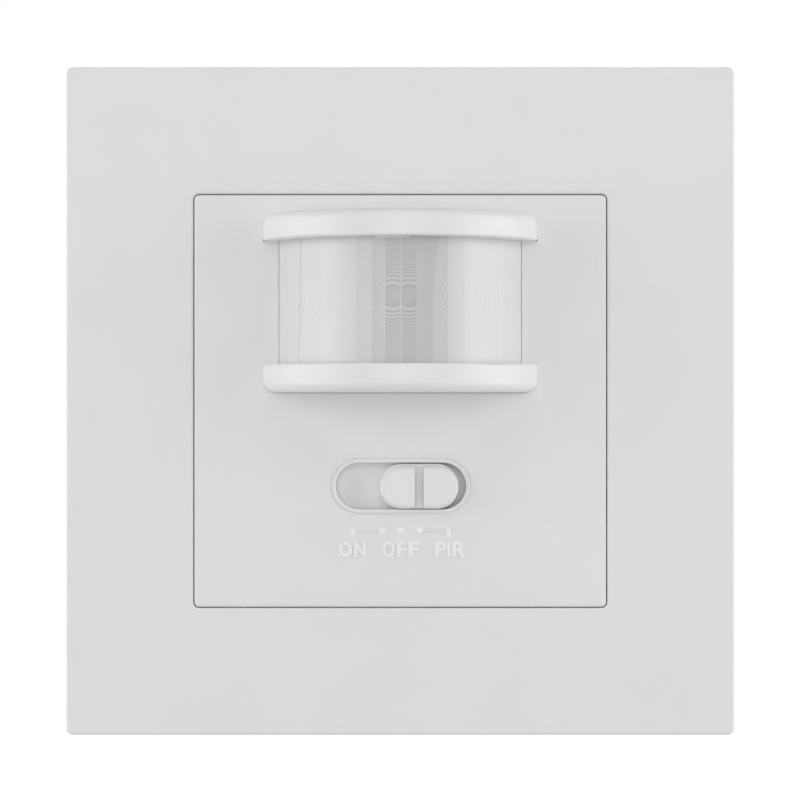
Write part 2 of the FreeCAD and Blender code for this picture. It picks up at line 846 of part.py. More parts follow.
def chassis():
    body = new_part("chassis")
    inside = chassis_half - s.chassis_wall
    pad(body, FRONT, strap_level, s.chassis_level, rounded_square(chassis_half, s.chassis_corner))
    pocket(body, FRONT, strap_level, chassis_inside, square(inside))
    bosses = [disc(x * boss_x, z * s.boss_z, s.housing_screw_head) for x in SIGNS for z in SIGNS]
    pad(body, FRONT, strap_level, s.chassis_level, *bosses)
    posts = [disc(x * post_place, z * post_place, s.post_radius) for x in SIGNS for z in SIGNS]
    pad(body, FRONT, strap_level, plate_back, *posts)
    pegs = [disc(x * peg_x, z * peg_z, s.peg_radius) for x in SIGNS for z in SIGNS]
    pad(body, FRONT, s.sensor_board_level, s.chassis_level, *pegs)
    window_low = optics_z - s.sensor_window_height / 2
    window_high = optics_z + s.sensor_window_height / 2
    openings = [
        box(-s.sensor_window_half, s.sensor_window_half, window_low, window_high),
        chassis_room(),
    ]
    for side in SIGNS:
        shaft_hole = s.trimmer_shaft_radius + s.hole_clearance
        openings.append(disc(side * trimmer_x, knob_z, shaft_hole))
    pocket(body, FRONT, chassis_inside, s.chassis_level, *openings)
    screw_room = s.housing_screw_radius + s.hole_clearance
    screw_holes = [disc(x * boss_x, z * s.boss_z, screw_room) for x in SIGNS for z in SIGNS]
    pocket(body, FRONT, strap_level, s.chassis_level, *screw_holes)
    peg_holes = [
        disc(x * peg_x, z * peg_z, s.board_screw_radius + s.thread_clearance) for x in SIGNS for z in SIGNS
    ]
    peg_end = s.sensor_board_level + s.board_screw_length
    pocket(body, FRONT, s.sensor_board_level, peg_end, *peg_holes)
    notch = s.claw_screw_head + s.hole_clearance
    for side in SIGNS:
        inner = side * (claw_screw_x - notch)
        outer = side * (chassis_half + notch)
        pocket(body, FRONT, strap_level, s.chassis_level, box(inner, outer, -notch, notch))


def mounting_strap():
    body = new_part("mounting_strap")
    half = s.box_screw_spacing / 2 + s.strap_margin
    cut = half - s.strap_chamfer
    outline = polygon(
        (-cut, -half), (cut, -half), (half, -cut), (half, cut),
        (cut, half), (-cut, half), (-half, cut), (-half, -cut),
    )
    pad(body, FRONT, 0, strap_level, outline)
    for side in SIGNS:
        far = side * half
        edge = side * (half - s.strap_thickness)
        reach = s.strap_edge_length / 2
        pad(body, FRONT, 0, strap_level + s.strap_edge, box(-reach, reach, edge, far))
    ear_low = s.claw_half_width + s.hole_clearance
    for side in SIGNS:
        for end in SIGNS:
            pivot = side * claw_pivot_x
            low = pivot - s.ear_half_width
            high = pivot + s.ear_half_width
            near_z = end * ear_low
            far_z = end * (ear_low + s.ear_thickness)
            depth = s.claw_pivot_depth + s.claw_knuckle_radius
            pad(body, FRONT, -depth, 0, box(low, high, near_z, far_z))
        pin_end = ear_low + s.ear_thickness
        pin_hole = disc(side * claw_pivot_x, s.claw_pivot_depth, s.claw_pin_radius + s.thread_clearance)
        pocket(body, PLAN, -pin_end, pin_end, pin_hole)
    holes = [box(-inner_half_width, inner_half_width, -inner_half_height, inner_half_height)]
    reach = s.box_screw_spacing / 2
    for side in SIGNS:
        holes.append(stadium(side * reach, 0, s.box_slot_length, s.box_slot_width))
        holes.append(upright_stadium(0, side * reach, s.box_slot_width, s.box_slot_length))
        holes.append(disc(side * claw_screw_x, 0, s.claw_screw_radius + s.hole_clearance))
        for end in SIGNS:
            hole = s.housing_screw_radius + s.hole_clearance
            holes.append(disc(side * boss_x, end * s.boss_z, hole))
    pocket(body, FRONT, 0, strap_level, *holes)


def rear_housing():
    body = new_part("rear_housing")
    outline = rounded(
        -s.housing_half_width, s.housing_half_width,
        -s.housing_half_height, s.housing_half_height, s.housing_corner,
    )
    pad(body, FRONT, -s.housing_depth, 0, outline)
    webs = []
    for side in SIGNS:
        for end in SIGNS:
            x = side * boss_x
            z = end * s.boss_z
            inner = side * (s.housing_half_width - s.housing_wall / 2)
            webs.append(box(inner, x, z - s.screw_boss_radius, z + s.screw_boss_radius))
            pad(body, FRONT, -s.screw_boss_depth, 0, disc(x, z, s.screw_boss_radius))
    pad(body, FRONT, -s.screw_boss_depth, 0, *webs)
    room = box(-inner_half_width, inner_half_width, -inner_half_height, inner_half_height)
    pocket(body, FRONT, housing_floor, 0, room)
    posts = [disc(x * power_post_x, z * power_post_z, s.power_post_radius) for x in SIGNS for z in SIGNS]
    pad(body, FRONT, -s.housing_depth, power_board_back, *posts)
    hole = s.board_screw_radius + s.thread_clearance
    holes = [disc(x * power_post_x, z * power_post_z, hole) for x in SIGNS for z in SIGNS]
    pocket(body, FRONT, power_board_level - s.board_screw_length, power_board_back, *holes)
    hole = s.housing_screw_radius + s.thread_clearance
    holes = [disc(x * boss_x, z * s.boss_z, hole) for x in SIGNS for z in SIGNS]
    pocket(body, FRONT, s.chassis_level - s.housing_screw_length - s.thread_clearance, 0, *holes)
    block_reach = s.block_length / 2 + s.hole_clearance
    block_window = box(-block_reach, block_reach, -inner_half_height, block_top + s.hole_clearance)
    pocket(body, FRONT, -s.housing_depth, housing_floor, block_window)
    wires = [disc(x, wire_depth, s.wire_hole_radius) for x in pole_places]
    pocket(body, PLAN, -s.housing_half_height, -inner_half_height, *wires)
    vents = []
    vent_end = s.housing_depth - s.vent_end_gap
    for place in row(VENT_COUNT, 2 * s.vent_width):
        vents.append(box(place - s.vent_width / 2, place + s.vent_width / 2, s.vent_start, vent_end))
    pocket(body, PLAN, inner_half_height, s.housing_half_height, *vents)


def drive_recess(body, x, z, low, high, head_radius, cross):
    """The slot or the cross in a screw's head."""
    half_slot = s.drive_slot / 2
    reach = head_radius - s.drive_margin
    pocket(body, FRONT, low, high, box(x - reach, x + reach, z - half_slot, z + half_slot))
    if cross:
        pocket(body, FRONT, low, high, box(x - half_slot, x + half_slot, z - reach, z + reach))


def front_screw(body, x, z, seat, head_radius, head_height, radius, length, cross):
    """A screw put in from the front: its head stands on the seat level."""
    top = seat + head_height
    pad(body, FRONT, seat, top, disc(x, z, head_radius))
    pad(body, FRONT, seat - length, seat, disc(x, z, radius))
    drive_recess(body, x, z, top - head_height / 2, top, head_radius, cross)


def housing_screws():
    body = new_part("housing_screws")
    for x in SIGNS:
        for z in SIGNS:
            front_screw(
                body, x * boss_x, z * s.boss_z, s.chassis_level, s.housing_screw_head,
                s.housing_screw_head_height, s.housing_screw_radius, s.housing_screw_length, True,
            )


def power_board_screws():
    body = new_part("power_board_screws")
    for x in SIGNS:
        for z in SIGNS:
            front_screw(
                body, x * power_post_x, z * power_post_z, power_board_level, s.board_screw_head,
                s.board_screw_head_height, s.board_screw_radius, s.board_screw_length, True,
            )


def sensor_board_screws():
    """Screws put in from behind, so their heads lie on the board's back."""
    body = new_part("sensor_board_screws")
    end = s.sensor_board_level + s.board_screw_length - s.thread_clearance
    for x in SIGNS:
        for z in SIGNS:
            place_x = x * peg_x
            place_z = z * peg_z
            head_back = sensor_board_back - s.board_screw_head_height
            pad(body, FRONT, head_back, sensor_board_back, disc(place_x, place_z, s.board_screw_head))
            pad(body, FRONT, sensor_board_back, end, disc(place_x, place_z, s.board_screw_radius))
            recess_end = head_back + s.board_screw_head_height / 2
            drive_recess(body, place_x, place_z, head_back, recess_end, s.board_screw_head, True)


def claw(label, side):
    body = new_part(label)
    pivot = side * claw_pivot_x
    foot_end = side * (claw_pivot_x + s.claw_foot_reach - s.claw_tooth)
    tip = side * (claw_pivot_x + s.claw_foot_reach)
    arm_low = pivot - s.claw_plate / 2
    arm_high = pivot + s.claw_plate / 2
    half = s.claw_half_width
    foot_front = s.claw_foot_depth - s.claw_plate
    pad(body, PLAN, -half, half, disc(pivot, s.claw_pivot_depth, s.claw_knuckle_radius))
    pad(body, PLAN, -half, half, box(arm_low, arm_high, s.claw_pivot_depth, s.claw_foot_depth))
    pad(body, PLAN, -half, half, box(pivot, foot_end, foot_front, s.claw_foot_depth))
    tooth_half = half / CLAW_TOOTH_COUNT
    for middle in row(CLAW_TOOTH_COUNT, 2 * tooth_half):
        tooth = polygon((foot_end, middle - tooth_half), (tip, middle), (foot_end, middle + tooth_half))
        pad(body, FRONT, -s.claw_foot_depth, -foot_front, tooth)
    hole = s.claw_pin_radius + s.running_clearance
    pocket(body, PLAN, -half, half, disc(pivot, s.claw_pivot_depth, hole))
    slot_half = s.claw_screw_radius + s.hole_clearance + s.slide_clearance
    inner = side * (claw_screw_x - s.claw_slot_travel - s.claw_screw_radius - s.hole_clearance / 2)
    outer = side * (claw_screw_x + slot_half)
    pocket(body, FRONT, -s.claw_foot_depth, -foot_front, box(inner, outer, -slot_half, slot_half))


def claw_pins():
    body = new_part("claw_pins")
    end = s.claw_half_width + s.hole_clearance + s.ear_thickness
    pins = [disc(side * claw_pivot_x, s.claw_pivot_depth, s.claw_pin_radius) for side in SIGNS]
    pad(body, PLAN, -end, end, *pins)


def claw_screw(label, side):
    body = new_part(label)
    front_screw(
        body, side * claw_screw_x, as_size(0), strap_level, s.claw_screw_head,
        s.claw_screw_head_height, s.claw_screw_radius, s.claw_screw_length, False,
    )


def board(label, level, screw_x, screw_z):
    body = new_part(label)
    back = level - s.board_thickness
    outline = box(-board_half_width, board_half_width, -board_half_height, board_half_height)
    pad(body, FRONT, back, level, outline)
    hole = s.board_screw_radius + s.hole_clearance / 2
    holes = [disc(x * screw_x, z * screw_z, hole) for x in SIGNS for z in SIGNS]
    pocket(body, FRONT, back, level, *holes)


def pyro_sensor():
    base = s.sensor_board_level + s.pyro_seat
    top = base + s.pyro_height
    seat = new_part("pyro_seat")
    pad(seat, FRONT, s.sensor_board_level, base, disc(0, optics_z, s.pyro_radius))
    leg_places = []
    for turn in (90, 210, 330):
        across = s.pyro_leg_circle * math.cos(math.radians(turn))
        up = optics_z + s.pyro_leg_circle * math.sin(math.radians(turn))
        leg_places.append((across, up))
    leg_hole = s.pyro_leg_radius + s.thread_clearance
    pocket(seat, FRONT, s.sensor_board_level, base, *[disc(x, z, leg_hole) for x, z in leg_places])
    can = new_part("pyro_can")
    pad(can, FRONT, base, base + s.pyro_flange, disc(0, optics_z, s.pyro_flange_radius))
    pad(can, FRONT, base, top, disc(0, optics_z, s.pyro_radius))
    round_edges(can, s.pyro_wall, lambda edge: edge_is_flat_at(edge, top))
    inner_top = top - s.pyro_wall
    pocket(can, FRONT, base + s.pyro_flange, inner_top, disc(0, optics_z, s.pyro_radius - s.pyro_wall))
    pocket(can, FRONT, inner_top, top, centred_box(0, optics_z, s.pyro_window_width, s.pyro_window_height))
    window = new_part("pyro_window")
    margin = s.pyro_wall * 2
    plate = centred_box(0, optics_z, s.pyro_window_width + margin, s.pyro_window_height + margin)
    pad(window, FRONT, inner_top - s.pyro_window_thickness, inner_top, plate)
    legs = new_part("pyro_legs")
    pad(legs, FRONT, s.sensor_board_level, base, *[disc(x, z, s.pyro_leg_radius) for x, z in leg_places])


def light_sensor():
    body = new_part("light_sensor")
    base = s.sensor_board_level + s.light_sensor_lift
    top = base + s.light_sensor_length
    pad(body, FRONT, base, top, disc(s.light_sensor_x, optics_z, s.light_sensor_radius))
    round_edges(body, s.light_sensor_round, lambda edge: edge_is_flat_at(edge, top))
    legs = new_part("light_sensor_legs")
    places = [s.light_sensor_x + side * s.light_sensor_pitch / 2 for side in SIGNS]
    pad(legs, FRONT, s.sensor_board_level, base, *[disc(x, optics_z, s.pyro_leg_radius) for x in places])


def slide_switch():
    top = s.sensor_board_level + s.switch_case_rise
    inside_top = top - s.switch_case_wall
    base_top = s.sensor_board_level + s.switch_base
    length = s.switch_case_length
    height = s.switch_case_height
    inner_length = length - 2 * s.switch_case_wall
    inner_height = height - 2 * s.switch_case_wall
    case = new_part("slide_switch_case")
    pad(case, FRONT, s.sensor_board_level, top, centred_box(0, knob_z, length, height))
    pocket(case, FRONT, s.sensor_board_level, inside_top, centred_box(0, knob_z, inner_length, inner_height))
    travel = 2 * s.knob_pitch + 4 * s.slide_clearance
    slot = centred_box(0, knob_z, s.lever_length + travel, s.lever_height + 2 * s.slide_clearance)
    pocket(case, FRONT, inside_top, top, slot)
    base = new_part("slide_switch_base")
    base_length = inner_length - 2 * s.running_clearance
    base_height = inner_height - 2 * s.running_clearance
    pad(base, FRONT, s.sensor_board_level, base_top, centred_box(0, knob_z, base_length, base_height))
    lever = new_part("slide_switch_lever")
    foot_top = inside_top - s.running_clearance
    foot_back_level = foot_top - s.lever_foot
    pad(lever, FRONT, foot_back_level, foot_top,
        centred_box(knob_x, knob_z, s.lever_foot_length, s.lever_foot_height))
    shaft = centred_box(knob_x, knob_z, s.lever_length, s.lever_height)
    pad(lever, FRONT, foot_top, s.lever_end_level, shaft)
    contact = new_part("switch_contact")
    contact_back = foot_back_level - s.contact_thickness
    pad(contact, FRONT, contact_back, foot_back_level,
        centred_box(knob_x, knob_z, s.lever_foot_length, s.lever_height))


def trimmer(name, side):
    x = side * trimmer_x
    z = knob_z
    top = s.sensor_board_level + s.trimmer_base
    half = s.trimmer_half
    hub_room = s.trimmer_hub_radius + s.running_clearance
    base = new_part(name + "_trimmer_base")
    pad(base, FRONT, s.sensor_board_level, top, box(x - half, x + half, z - half, z + half))
    pocket(base, FRONT, top - s.trimmer_hub - s.running_clearance, top, disc(x, z, hub_room))
    rotor = new_part(name + "_trimmer_rotor")
    disc_top = top + s.trimmer_disc
    pad(rotor, FRONT, top, disc_top, disc(x, z, s.trimmer_disc_radius))
    pad(rotor, FRONT, disc_top, s.trimmer_end_level, disc(x, z, s.trimmer_shaft_radius))
    pad(rotor, FRONT, top - s.trimmer_hub, top, disc(x, z, s.trimmer_hub_radius))
    slot_floor = s.trimmer_end_level - s.trimmer_slot_depth
    slot = centred_box(x, z, s.drive_slot, s.trimmer_shaft_radius * 2)
    pocket(rotor, FRONT, slot_floor, s.trimmer_end_level, slot)


def controller_chip():
    body = new_part("controller_chip")
    level = s.sensor_board_level
    lift = s.thread_clearance * 2
    pad(body, FRONT, level + lift, level + s.chip_height, centred_box(0, chip_z, s.chip_length, s.chip_width))
    leads = new_part("controller_leads")
    loops = []
    for x in row(CHIP_LEAD_COUNT, s.chip_lead_pitch):
        for side in SIGNS:
            near_z = chip_z + side * s.chip_width / 2
            far_z = near_z + side * s.chip_lead_reach
            loops.append(box(x - s.chip_lead_width / 2, x + s.chip_lead_width / 2, near_z, far_z))
    pad(leads, FRONT, level, level + s.chip_lead_width, *loops)
    small = new_part("chip_parts")
    loops = []
    for side in SIGNS:
        for place in row(CHIP_PART_COUNT, s.chip_part_pitch):
            x = side * s.chip_part_x
            loops.append(centred_box(x, chip_z + place, s.chip_part_length, s.chip_part_width))
    pad(small, FRONT, level, level + s.chip_part_height, *loops)


def relay():
    body = new_part("relay")
    half = s.relay_length / 2
    outline = rounded(-half, half, relay_bottom, relay_bottom + s.relay_width, s.case_corner)
    pad(body, FRONT, power_board_level, power_board_level + s.relay_height, outline)


def film_capacitor():
    body = new_part("film_capacitor")
    half = s.film_capacitor_length / 2
    low = mains_row_z - s.film_capacitor_width / 2
    high = mains_row_z + s.film_capacitor_width / 2
    top = power_board_level + s.film_capacitor_height
    pad(body, FRONT, power_board_level, top, rounded(-half, half, low, high, s.case_corner))


def can_capacitor():
    body = new_part("smoothing_capacitor")
    x = s.can_capacitor_x
    z = can_capacitor_z
    level = power_board_level
    top = level + s.can_capacitor_height
    crimp = level + s.can_capacitor_crimp
    pad(body, FRONT, level, top, disc(x, z, s.can_capacitor_neck))
    pad(body, FRONT, level, crimp, disc(x, z, s.can_capacitor_radius))
    pad(body, FRONT, crimp + s.wire_rise, top, disc(x, z, s.can_capacitor_radius))
    round_edges(body, s.wire_rise, lambda edge: edge_is_flat_at(edge, top))


def varistor():
    body = new_part("varistor")
    z = mains_row_z
    depth = -power_board_level - s.varistor_radius - s.wire_rise
    low = varistor_x - s.varistor_thickness / 2
    high = varistor_x + s.varistor_thickness / 2
    pad(body, SIDE, low, high, disc(depth, z, s.varistor_radius))
    legs = [disc(varistor_x, z + side * s.varistor_radius / 2, s.lead_radius) for side in SIGNS]
    pad(body, FRONT, power_board_level, power_board_level + s.varistor_radius, *legs)


def lying_part(body, x, z, radius, length):
    """A round part that lies along Z on the power board, with a lead at each end."""
    depth = -power_board_level - radius - s.wire_rise
    pad(body, PLAN, z - length / 2, z + length / 2, disc(x, depth, radius))
    lead_end = length / 2 + s.lead_overhang
    pad(body, PLAN, z - lead_end, z + lead_end, disc(x, depth, s.lead_radius))
    legs = [disc(x, z + side * (lead_end - s.leg_inset), s.leg_radius) for side in SIGNS]
    pad(body, FRONT, power_board_level, power_board_level + radius + s.wire_rise, *legs)


def fuse_and_diodes():
    fuse = new_part("fuse")
    lying_part(fuse, -fuse_x, mains_row_z, s.fuse_radius, s.fuse_length)
    diodes = new_part("rectifier_diodes")
    for x in row(DIODE_COUNT, s.diode_pitch):
        lying_part(diodes, x, diode_z, s.diode_radius, s.diode_length)


def board_link():
    """A row of long pins that joins the two boards, with a header at each end."""
    places = row(HEADER_PIN_COUNT, s.link_pitch)
    half = HEADER_PIN_COUNT * s.link_pitch / 2
    half_depth = s.link_header / 2
    pins = new_part("board_link_pins")
    pad(pins, FRONT, power_board_level, sensor_board_back, *[disc(x, link_z, s.link_pin) for x in places])
    headers = new_part("board_link_headers")
    outline = box(-half, half, link_z - half_depth, link_z + half_depth)
    pad(headers, FRONT, power_board_level, power_board_level + s.link_header, outline)
    pad(headers, FRONT, sensor_board_back - s.link_header, sensor_board_back, outline)
    room = s.link_pin + s.thread_clearance
    pocket(headers, FRONT, power_board_level, sensor_board_back, *[disc(x, link_z, room) for x in places])


def terminal_block():
    body = new_part("terminal_block")
    half = s.block_length / 2
    pad(body, FRONT, block_back, power_board_back, box(-half, half, block_bottom, block_top))
    cavity_back = block_back + s.block_wall
    cavity_top = block_top - s.block_wall
    rooms = []
    holes = []
    for x in pole_places:
        rooms.append(box(x - s.cavity_width / 2, x + s.cavity_width / 2, -cavity_front, -cavity_back))
        holes.append(disc(x, pole_z, s.terminal_screw_head + s.hole_clearance))
    pocket(body, PLAN, block_bottom, cavity_top, *rooms)
    pocket(body, FRONT, block_back, cavity_back, *holes)


def terminal_bars():
    body = new_part("terminal_bars")
    low = block_bottom + s.block_wall
    high = block_top - s.block_wall
    for x in pole_places:
        bar = box(x - s.bar_width / 2, x + s.bar_width / 2, low, high)
        pad(body, FRONT, bar_back, bar_front, bar)
    tails = [
        box(x - s.bar_width / 2, x + s.bar_width / 2, high - s.bar_thickness * 2, high) for x in pole_places
    ]
    pad(body, FRONT, bar_front, cavity_front, *tails)


def terminal_cage(number, x):
    body = new_part(f"terminal_cage_{number}")
    half = s.cage_width / 2
    low = pole_z - s.cage_length / 2
    high = pole_z + s.cage_length / 2
    inner = half - s.cage_wall
    pad(body, FRONT, cage_back, cage_front, box(x - half, x + half, low, high))
    cage_inside_back = cage_back + s.cage_wall
    pocket(body, FRONT, cage_inside_back, cage_wire_side, box(x - inner, x + inner, low, high))
    screw_room = disc(x, pole_z, s.terminal_screw_radius + s.running_clearance)
    pocket(body, FRONT, cage_back, cage_inside_back, screw_room)


def terminal_screw(number, x):
    body = new_part(f"terminal_screw_{number}")
    head_back = screw_head_front - s.terminal_screw_head_height
    pad(body, FRONT, head_back, screw_head_front, disc(x, pole_z, s.terminal_screw_head))
    tip = bar_back - s.running_clearance
    pad(body, FRONT, screw_head_front, tip, disc(x, pole_z, s.terminal_screw_radius))
    recess_end = head_back + s.terminal_screw_head_height / 2
    drive_recess(body, x, pole_z, head_back, recess_end, s.terminal_screw_head, False)


outer_frame()
cover_plate()
sensor_head()
fresnel_lens()
lens_retainer()
switch_knob()
chassis()
housing_screws()
mounting_strap()
for name, side in (("left", -1), ("right", 1)):
    claw("claw_" + name, side)
    claw_screw("claw_screw_" + name, side)
claw_pins()
rear_housing()
board("sensor_board", s.sensor_board_level, peg_x, peg_z)
sensor_board_screws()
pyro_sensor()
light_sensor()
slide_switch()
trimmer("time", -1)
trimmer("lux", 1)
controller_chip()
board("power_board", power_board_level, power_post_x, power_post_z)
power_board_screws()
relay()
film_capacitor()
can_capacitor()
varistor()
fuse_and_diodes()
board_link()
terminal_block()
terminal_bars()
for number, x in enumerate(pole_places, start=1):
    terminal_cage(number, x)
    terminal_screw(number, x)
doc.recompute()

faults = []
for item in doc.Objects:
    if "Invalid" in item.State or "Error" in item.State:
        faults.append(f"{item.Label}: {item.State}")
    if item.TypeId == "PartDesign::Pocket" and not faults:
        taken = item.BaseFeature.Shape.Volume - item.Shape.Volume
        if taken < 1e-6:
            print("cuts nothing:", item.getParentGeoFeatureGroup().Label, item.Name)
for body in parts:
    if body.Shape.isNull() or not body.Shape.isValid():
        faults.append(f"{body.Label}: shape is null or not valid")
if faults:
    raise RuntimeError("; ".join(faults))

os.makedirs("parts", exist_ok=True)
for body in parts:
    body.Shape.exportStep(f"parts/{body.Label}.step")
print(len(parts), "pieces,", sum(len(body.Shape.Solids) for body in parts), "solids")
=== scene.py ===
import json
import math

import bpy
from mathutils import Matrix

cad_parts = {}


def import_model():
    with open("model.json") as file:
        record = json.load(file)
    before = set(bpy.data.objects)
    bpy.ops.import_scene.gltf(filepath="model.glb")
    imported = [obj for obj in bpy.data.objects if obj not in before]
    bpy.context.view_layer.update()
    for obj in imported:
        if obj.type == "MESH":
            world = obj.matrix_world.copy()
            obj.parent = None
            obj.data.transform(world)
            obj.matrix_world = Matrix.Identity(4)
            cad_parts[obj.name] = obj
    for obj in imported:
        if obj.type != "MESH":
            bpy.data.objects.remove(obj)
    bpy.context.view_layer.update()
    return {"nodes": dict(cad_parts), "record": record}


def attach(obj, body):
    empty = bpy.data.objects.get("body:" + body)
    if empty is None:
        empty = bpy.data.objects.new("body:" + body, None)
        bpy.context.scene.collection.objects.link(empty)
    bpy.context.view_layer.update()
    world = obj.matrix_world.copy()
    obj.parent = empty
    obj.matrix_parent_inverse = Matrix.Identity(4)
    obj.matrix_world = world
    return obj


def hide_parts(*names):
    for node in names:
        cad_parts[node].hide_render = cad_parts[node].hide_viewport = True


# A flush-mounted wall switch with a motion sensor, seen square from the front.
# Everything is in metres in the CAD frame: X to the right, Z up, the front faces -Y.

MM = 0.001

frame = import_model()
nodes = frame["nodes"]


# Places on the object

PLATE_FACE = -9.5 * MM
LENS_AXIS = -3.3 * MM
LENS_RADIUS = 16.0
LENS_MIDDLE = 12.35
MARK_HEIGHT = 0.16 * MM


# Tools for materials. Nearly all of a noise's values lie between its low and high one.

NOISE_LOW = 0.2
NOISE_HIGH = 0.8


def start_material(name):
    """A new material with an empty node tree and its output node."""
    material = bpy.data.materials.new(name)
    material.use_nodes = True
    tree = material.node_tree
    tree.nodes.clear()
    tree.nodes.new("ShaderNodeOutputMaterial")
    return material, tree


def feed(tree, socket, value):
    """Sets an input to a plain value, or links it to another node's output."""
    if isinstance(value, bpy.types.NodeSocket):
        tree.links.new(value, socket)
    else:
        socket.default_value = value


def maths(tree, operation, first, second=0.0):
    node = tree.nodes.new("ShaderNodeMath")
    node.operation = operation
    feed(tree, node.inputs[0], first)
    feed(tree, node.inputs[1], second)
    return node.outputs[0]


def object_place(tree, offset=(0, 0, 0), scale=(1, 1, 1)):
    """Object coordinates, moved and stretched."""
    coordinates = tree.nodes.new("ShaderNodeTexCoord")
    mapping = tree.nodes.new("ShaderNodeMapping")
    tree.links.new(coordinates.outputs["Object"], mapping.inputs["Vector"])
    mapping.inputs["Location"].default_value = offset
    mapping.inputs["Scale"].default_value = scale
    return mapping.outputs["Vector"]


def noise(tree, place, grain, detail=3.0):
    """Noise whose patches are about as wide as the grain."""
    node = tree.nodes.new("ShaderNodeTexNoise")
    tree.links.new(place, node.inputs["Vector"])
    node.inputs["Scale"].default_value = 1 / grain
    node.inputs["Detail"].default_value = detail
    return node.outputs["Fac"]


def spread(tree, value, low, high):
    """Maps the middle of a noise's range to low and high."""
    node = tree.nodes.new("ShaderNodeMapRange")
    tree.links.new(value, node.inputs["Value"])
    node.interpolation_type = "SMOOTHSTEP"
    node.inputs["From Min"].default_value = NOISE_LOW
    node.inputs["From Max"].default_value = NOISE_HIGH
    node.inputs["To Min"].default_value = low
    node.inputs["To Max"].default_value = high
    return node.outputs["Result"]


def shade(tree, value, dark, light):
    """Two colours mixed by a value."""
    node = tree.nodes.new("ShaderNodeMix")
    node.data_type = "RGBA"
    tree.links.new(value, node.inputs["Factor"])
    node.inputs["A"].default_value = (*dark, 1)
    node.inputs["B"].default_value = (*light, 1)
    return node.outputs["Result"]


def bumps(tree, height, depth, before=None):
    """A bump of the given depth, on top of another one if it is given."""
    node = tree.nodes.new("ShaderNodeBump")
    node.inputs["Strength"].default_value = 1.0
    node.inputs["Distance"].default_value = depth
    tree.links.new(height, node.inputs["Height"])
    if before is not None:
        tree.links.new(before, node.inputs["Normal"])
    return node.outputs["Normal"]


def surface(tree, colour, roughness, normal=None, **settings):
    """The shader itself. Uniform values go straight to its own sockets."""
    shader = tree.nodes.new("ShaderNodeBsdfPrincipled")
    feed(tree, shader.inputs["Base Color"], colour)
    feed(tree, shader.inputs["Roughness"], roughness)
    if normal is not None:
        tree.links.new(normal, shader.inputs["Normal"])
    for name, value in settings.items():
        shader.inputs[name.replace("_", " ")].default_value = value
    output = next(node for node in tree.nodes if node.type == "OUTPUT_MATERIAL")
    tree.links.new(shader.outputs["BSDF"], output.inputs["Surface"])


def tinted(colour, share):
    return tuple(min(1.0, part * share) for part in colour)


# Materials. The grains are how wide the patches of tone, of gloss and the waves are on moulded plastic.

TONE_GRAIN = 9 * MM
GLOSS_GRAIN = 4 * MM
GLOSS_SPREAD = 0.04
WAVE_GRAIN = 14 * MM


def mottled(tree, tone, colour, mottle):
    """A colour that gets a little darker and lighter with the tone."""
    return shade(tree, tone, tinted(colour, 1 - mottle), tinted(colour, 1 + mottle))


def moulded_skin(tree, place, colour, roughness, grain, depth):
    """A fine eroded grain on long faint waves, with uneven gloss."""
    gloss = spread(tree, noise(tree, place, GLOSS_GRAIN), roughness - GLOSS_SPREAD, roughness + GLOSS_SPREAD)
    relief = bumps(tree, noise(tree, place, grain, 2.0), depth)
    waves = bumps(tree, noise(tree, place, WAVE_GRAIN, 1.0), 4 * depth, relief)
    surface(tree, colour, gloss, waves)


def moulded_plastic(name, colour, roughness, grain, depth, mottle=0.01):
    """Moulded plastic of one colour with a faint unevenness of tone."""
    material, tree = start_material(name)
    place = object_place(tree)
    tone = spread(tree, noise(tree, place, TONE_GRAIN), 0.0, 1.0)
    moulded_skin(tree, place, mottled(tree, tone, colour, mottle), roughness, grain, depth)
    return material


def two_whites(name, front, back, border, roughness, grain, depth, mottle):
    """Moulded plastic with one colour in front of the border and another one behind it."""
    material, tree = start_material(name)
    place = object_place(tree)
    parts = tree.nodes.new("ShaderNodeSeparateXYZ")
    tree.links.new(place, parts.inputs["Vector"])
    behind = maths(tree, "GREATER_THAN", parts.outputs["Y"], border)
    tone = spread(tree, noise(tree, place, TONE_GRAIN), 0.0, 1.0)
    colour = tree.nodes.new("ShaderNodeMix")
    colour.data_type = "RGBA"
    tree.links.new(behind, colour.inputs["Factor"])
    tree.links.new(mottled(tree, tone, front, mottle), colour.inputs["A"])
    tree.links.new(mottled(tree, tone, back, mottle), colour.inputs["B"])
    moulded_skin(tree, place, colour.outputs["Result"], roughness, grain, depth)
    return material


def plated_steel(name, colour, roughness):
    """Zinc-plated steel: soft clouds of tone, rolling marks and small pits."""
    material, tree = start_material(name)
    place = object_place(tree)
    rolled = object_place(tree, scale=(1, 1, 0.06))
    clouds = spread(tree, noise(tree, place, 2.5 * MM, 4.0), 0.0, 1.0)
    gloss = spread(tree, noise(tree, rolled, 0.5 * MM), roughness - 0.08, roughness + 0.1)
    marks = bumps(tree, noise(tree, rolled, 0.3 * MM, 2.0), 0.004 * MM)
    pits = bumps(tree, noise(tree, place, 0.25 * MM), 0.004 * MM, marks)
    surface(tree, shade(tree, clouds, tinted(colour, 0.9), tinted(colour, 1.06)), gloss, pits, Metallic=1.0)
    return material


def turned_metal(name, colour, roughness, mottle=0.06):
    """Bright metal of small turned and drawn pieces."""
    material, tree = start_material(name)
    place = object_place(tree)
    clouds = spread(tree, noise(tree, place, 1.2 * MM, 4.0), 0.0, 1.0)
    gloss = spread(tree, noise(tree, place, 0.4 * MM), roughness - 0.06, roughness + 0.08)
    relief = bumps(tree, noise(tree, place, 0.15 * MM), 0.003 * MM)
    surface(tree, mottled(tree, clouds, colour, mottle), gloss, relief, Metallic=1.0)
    return material


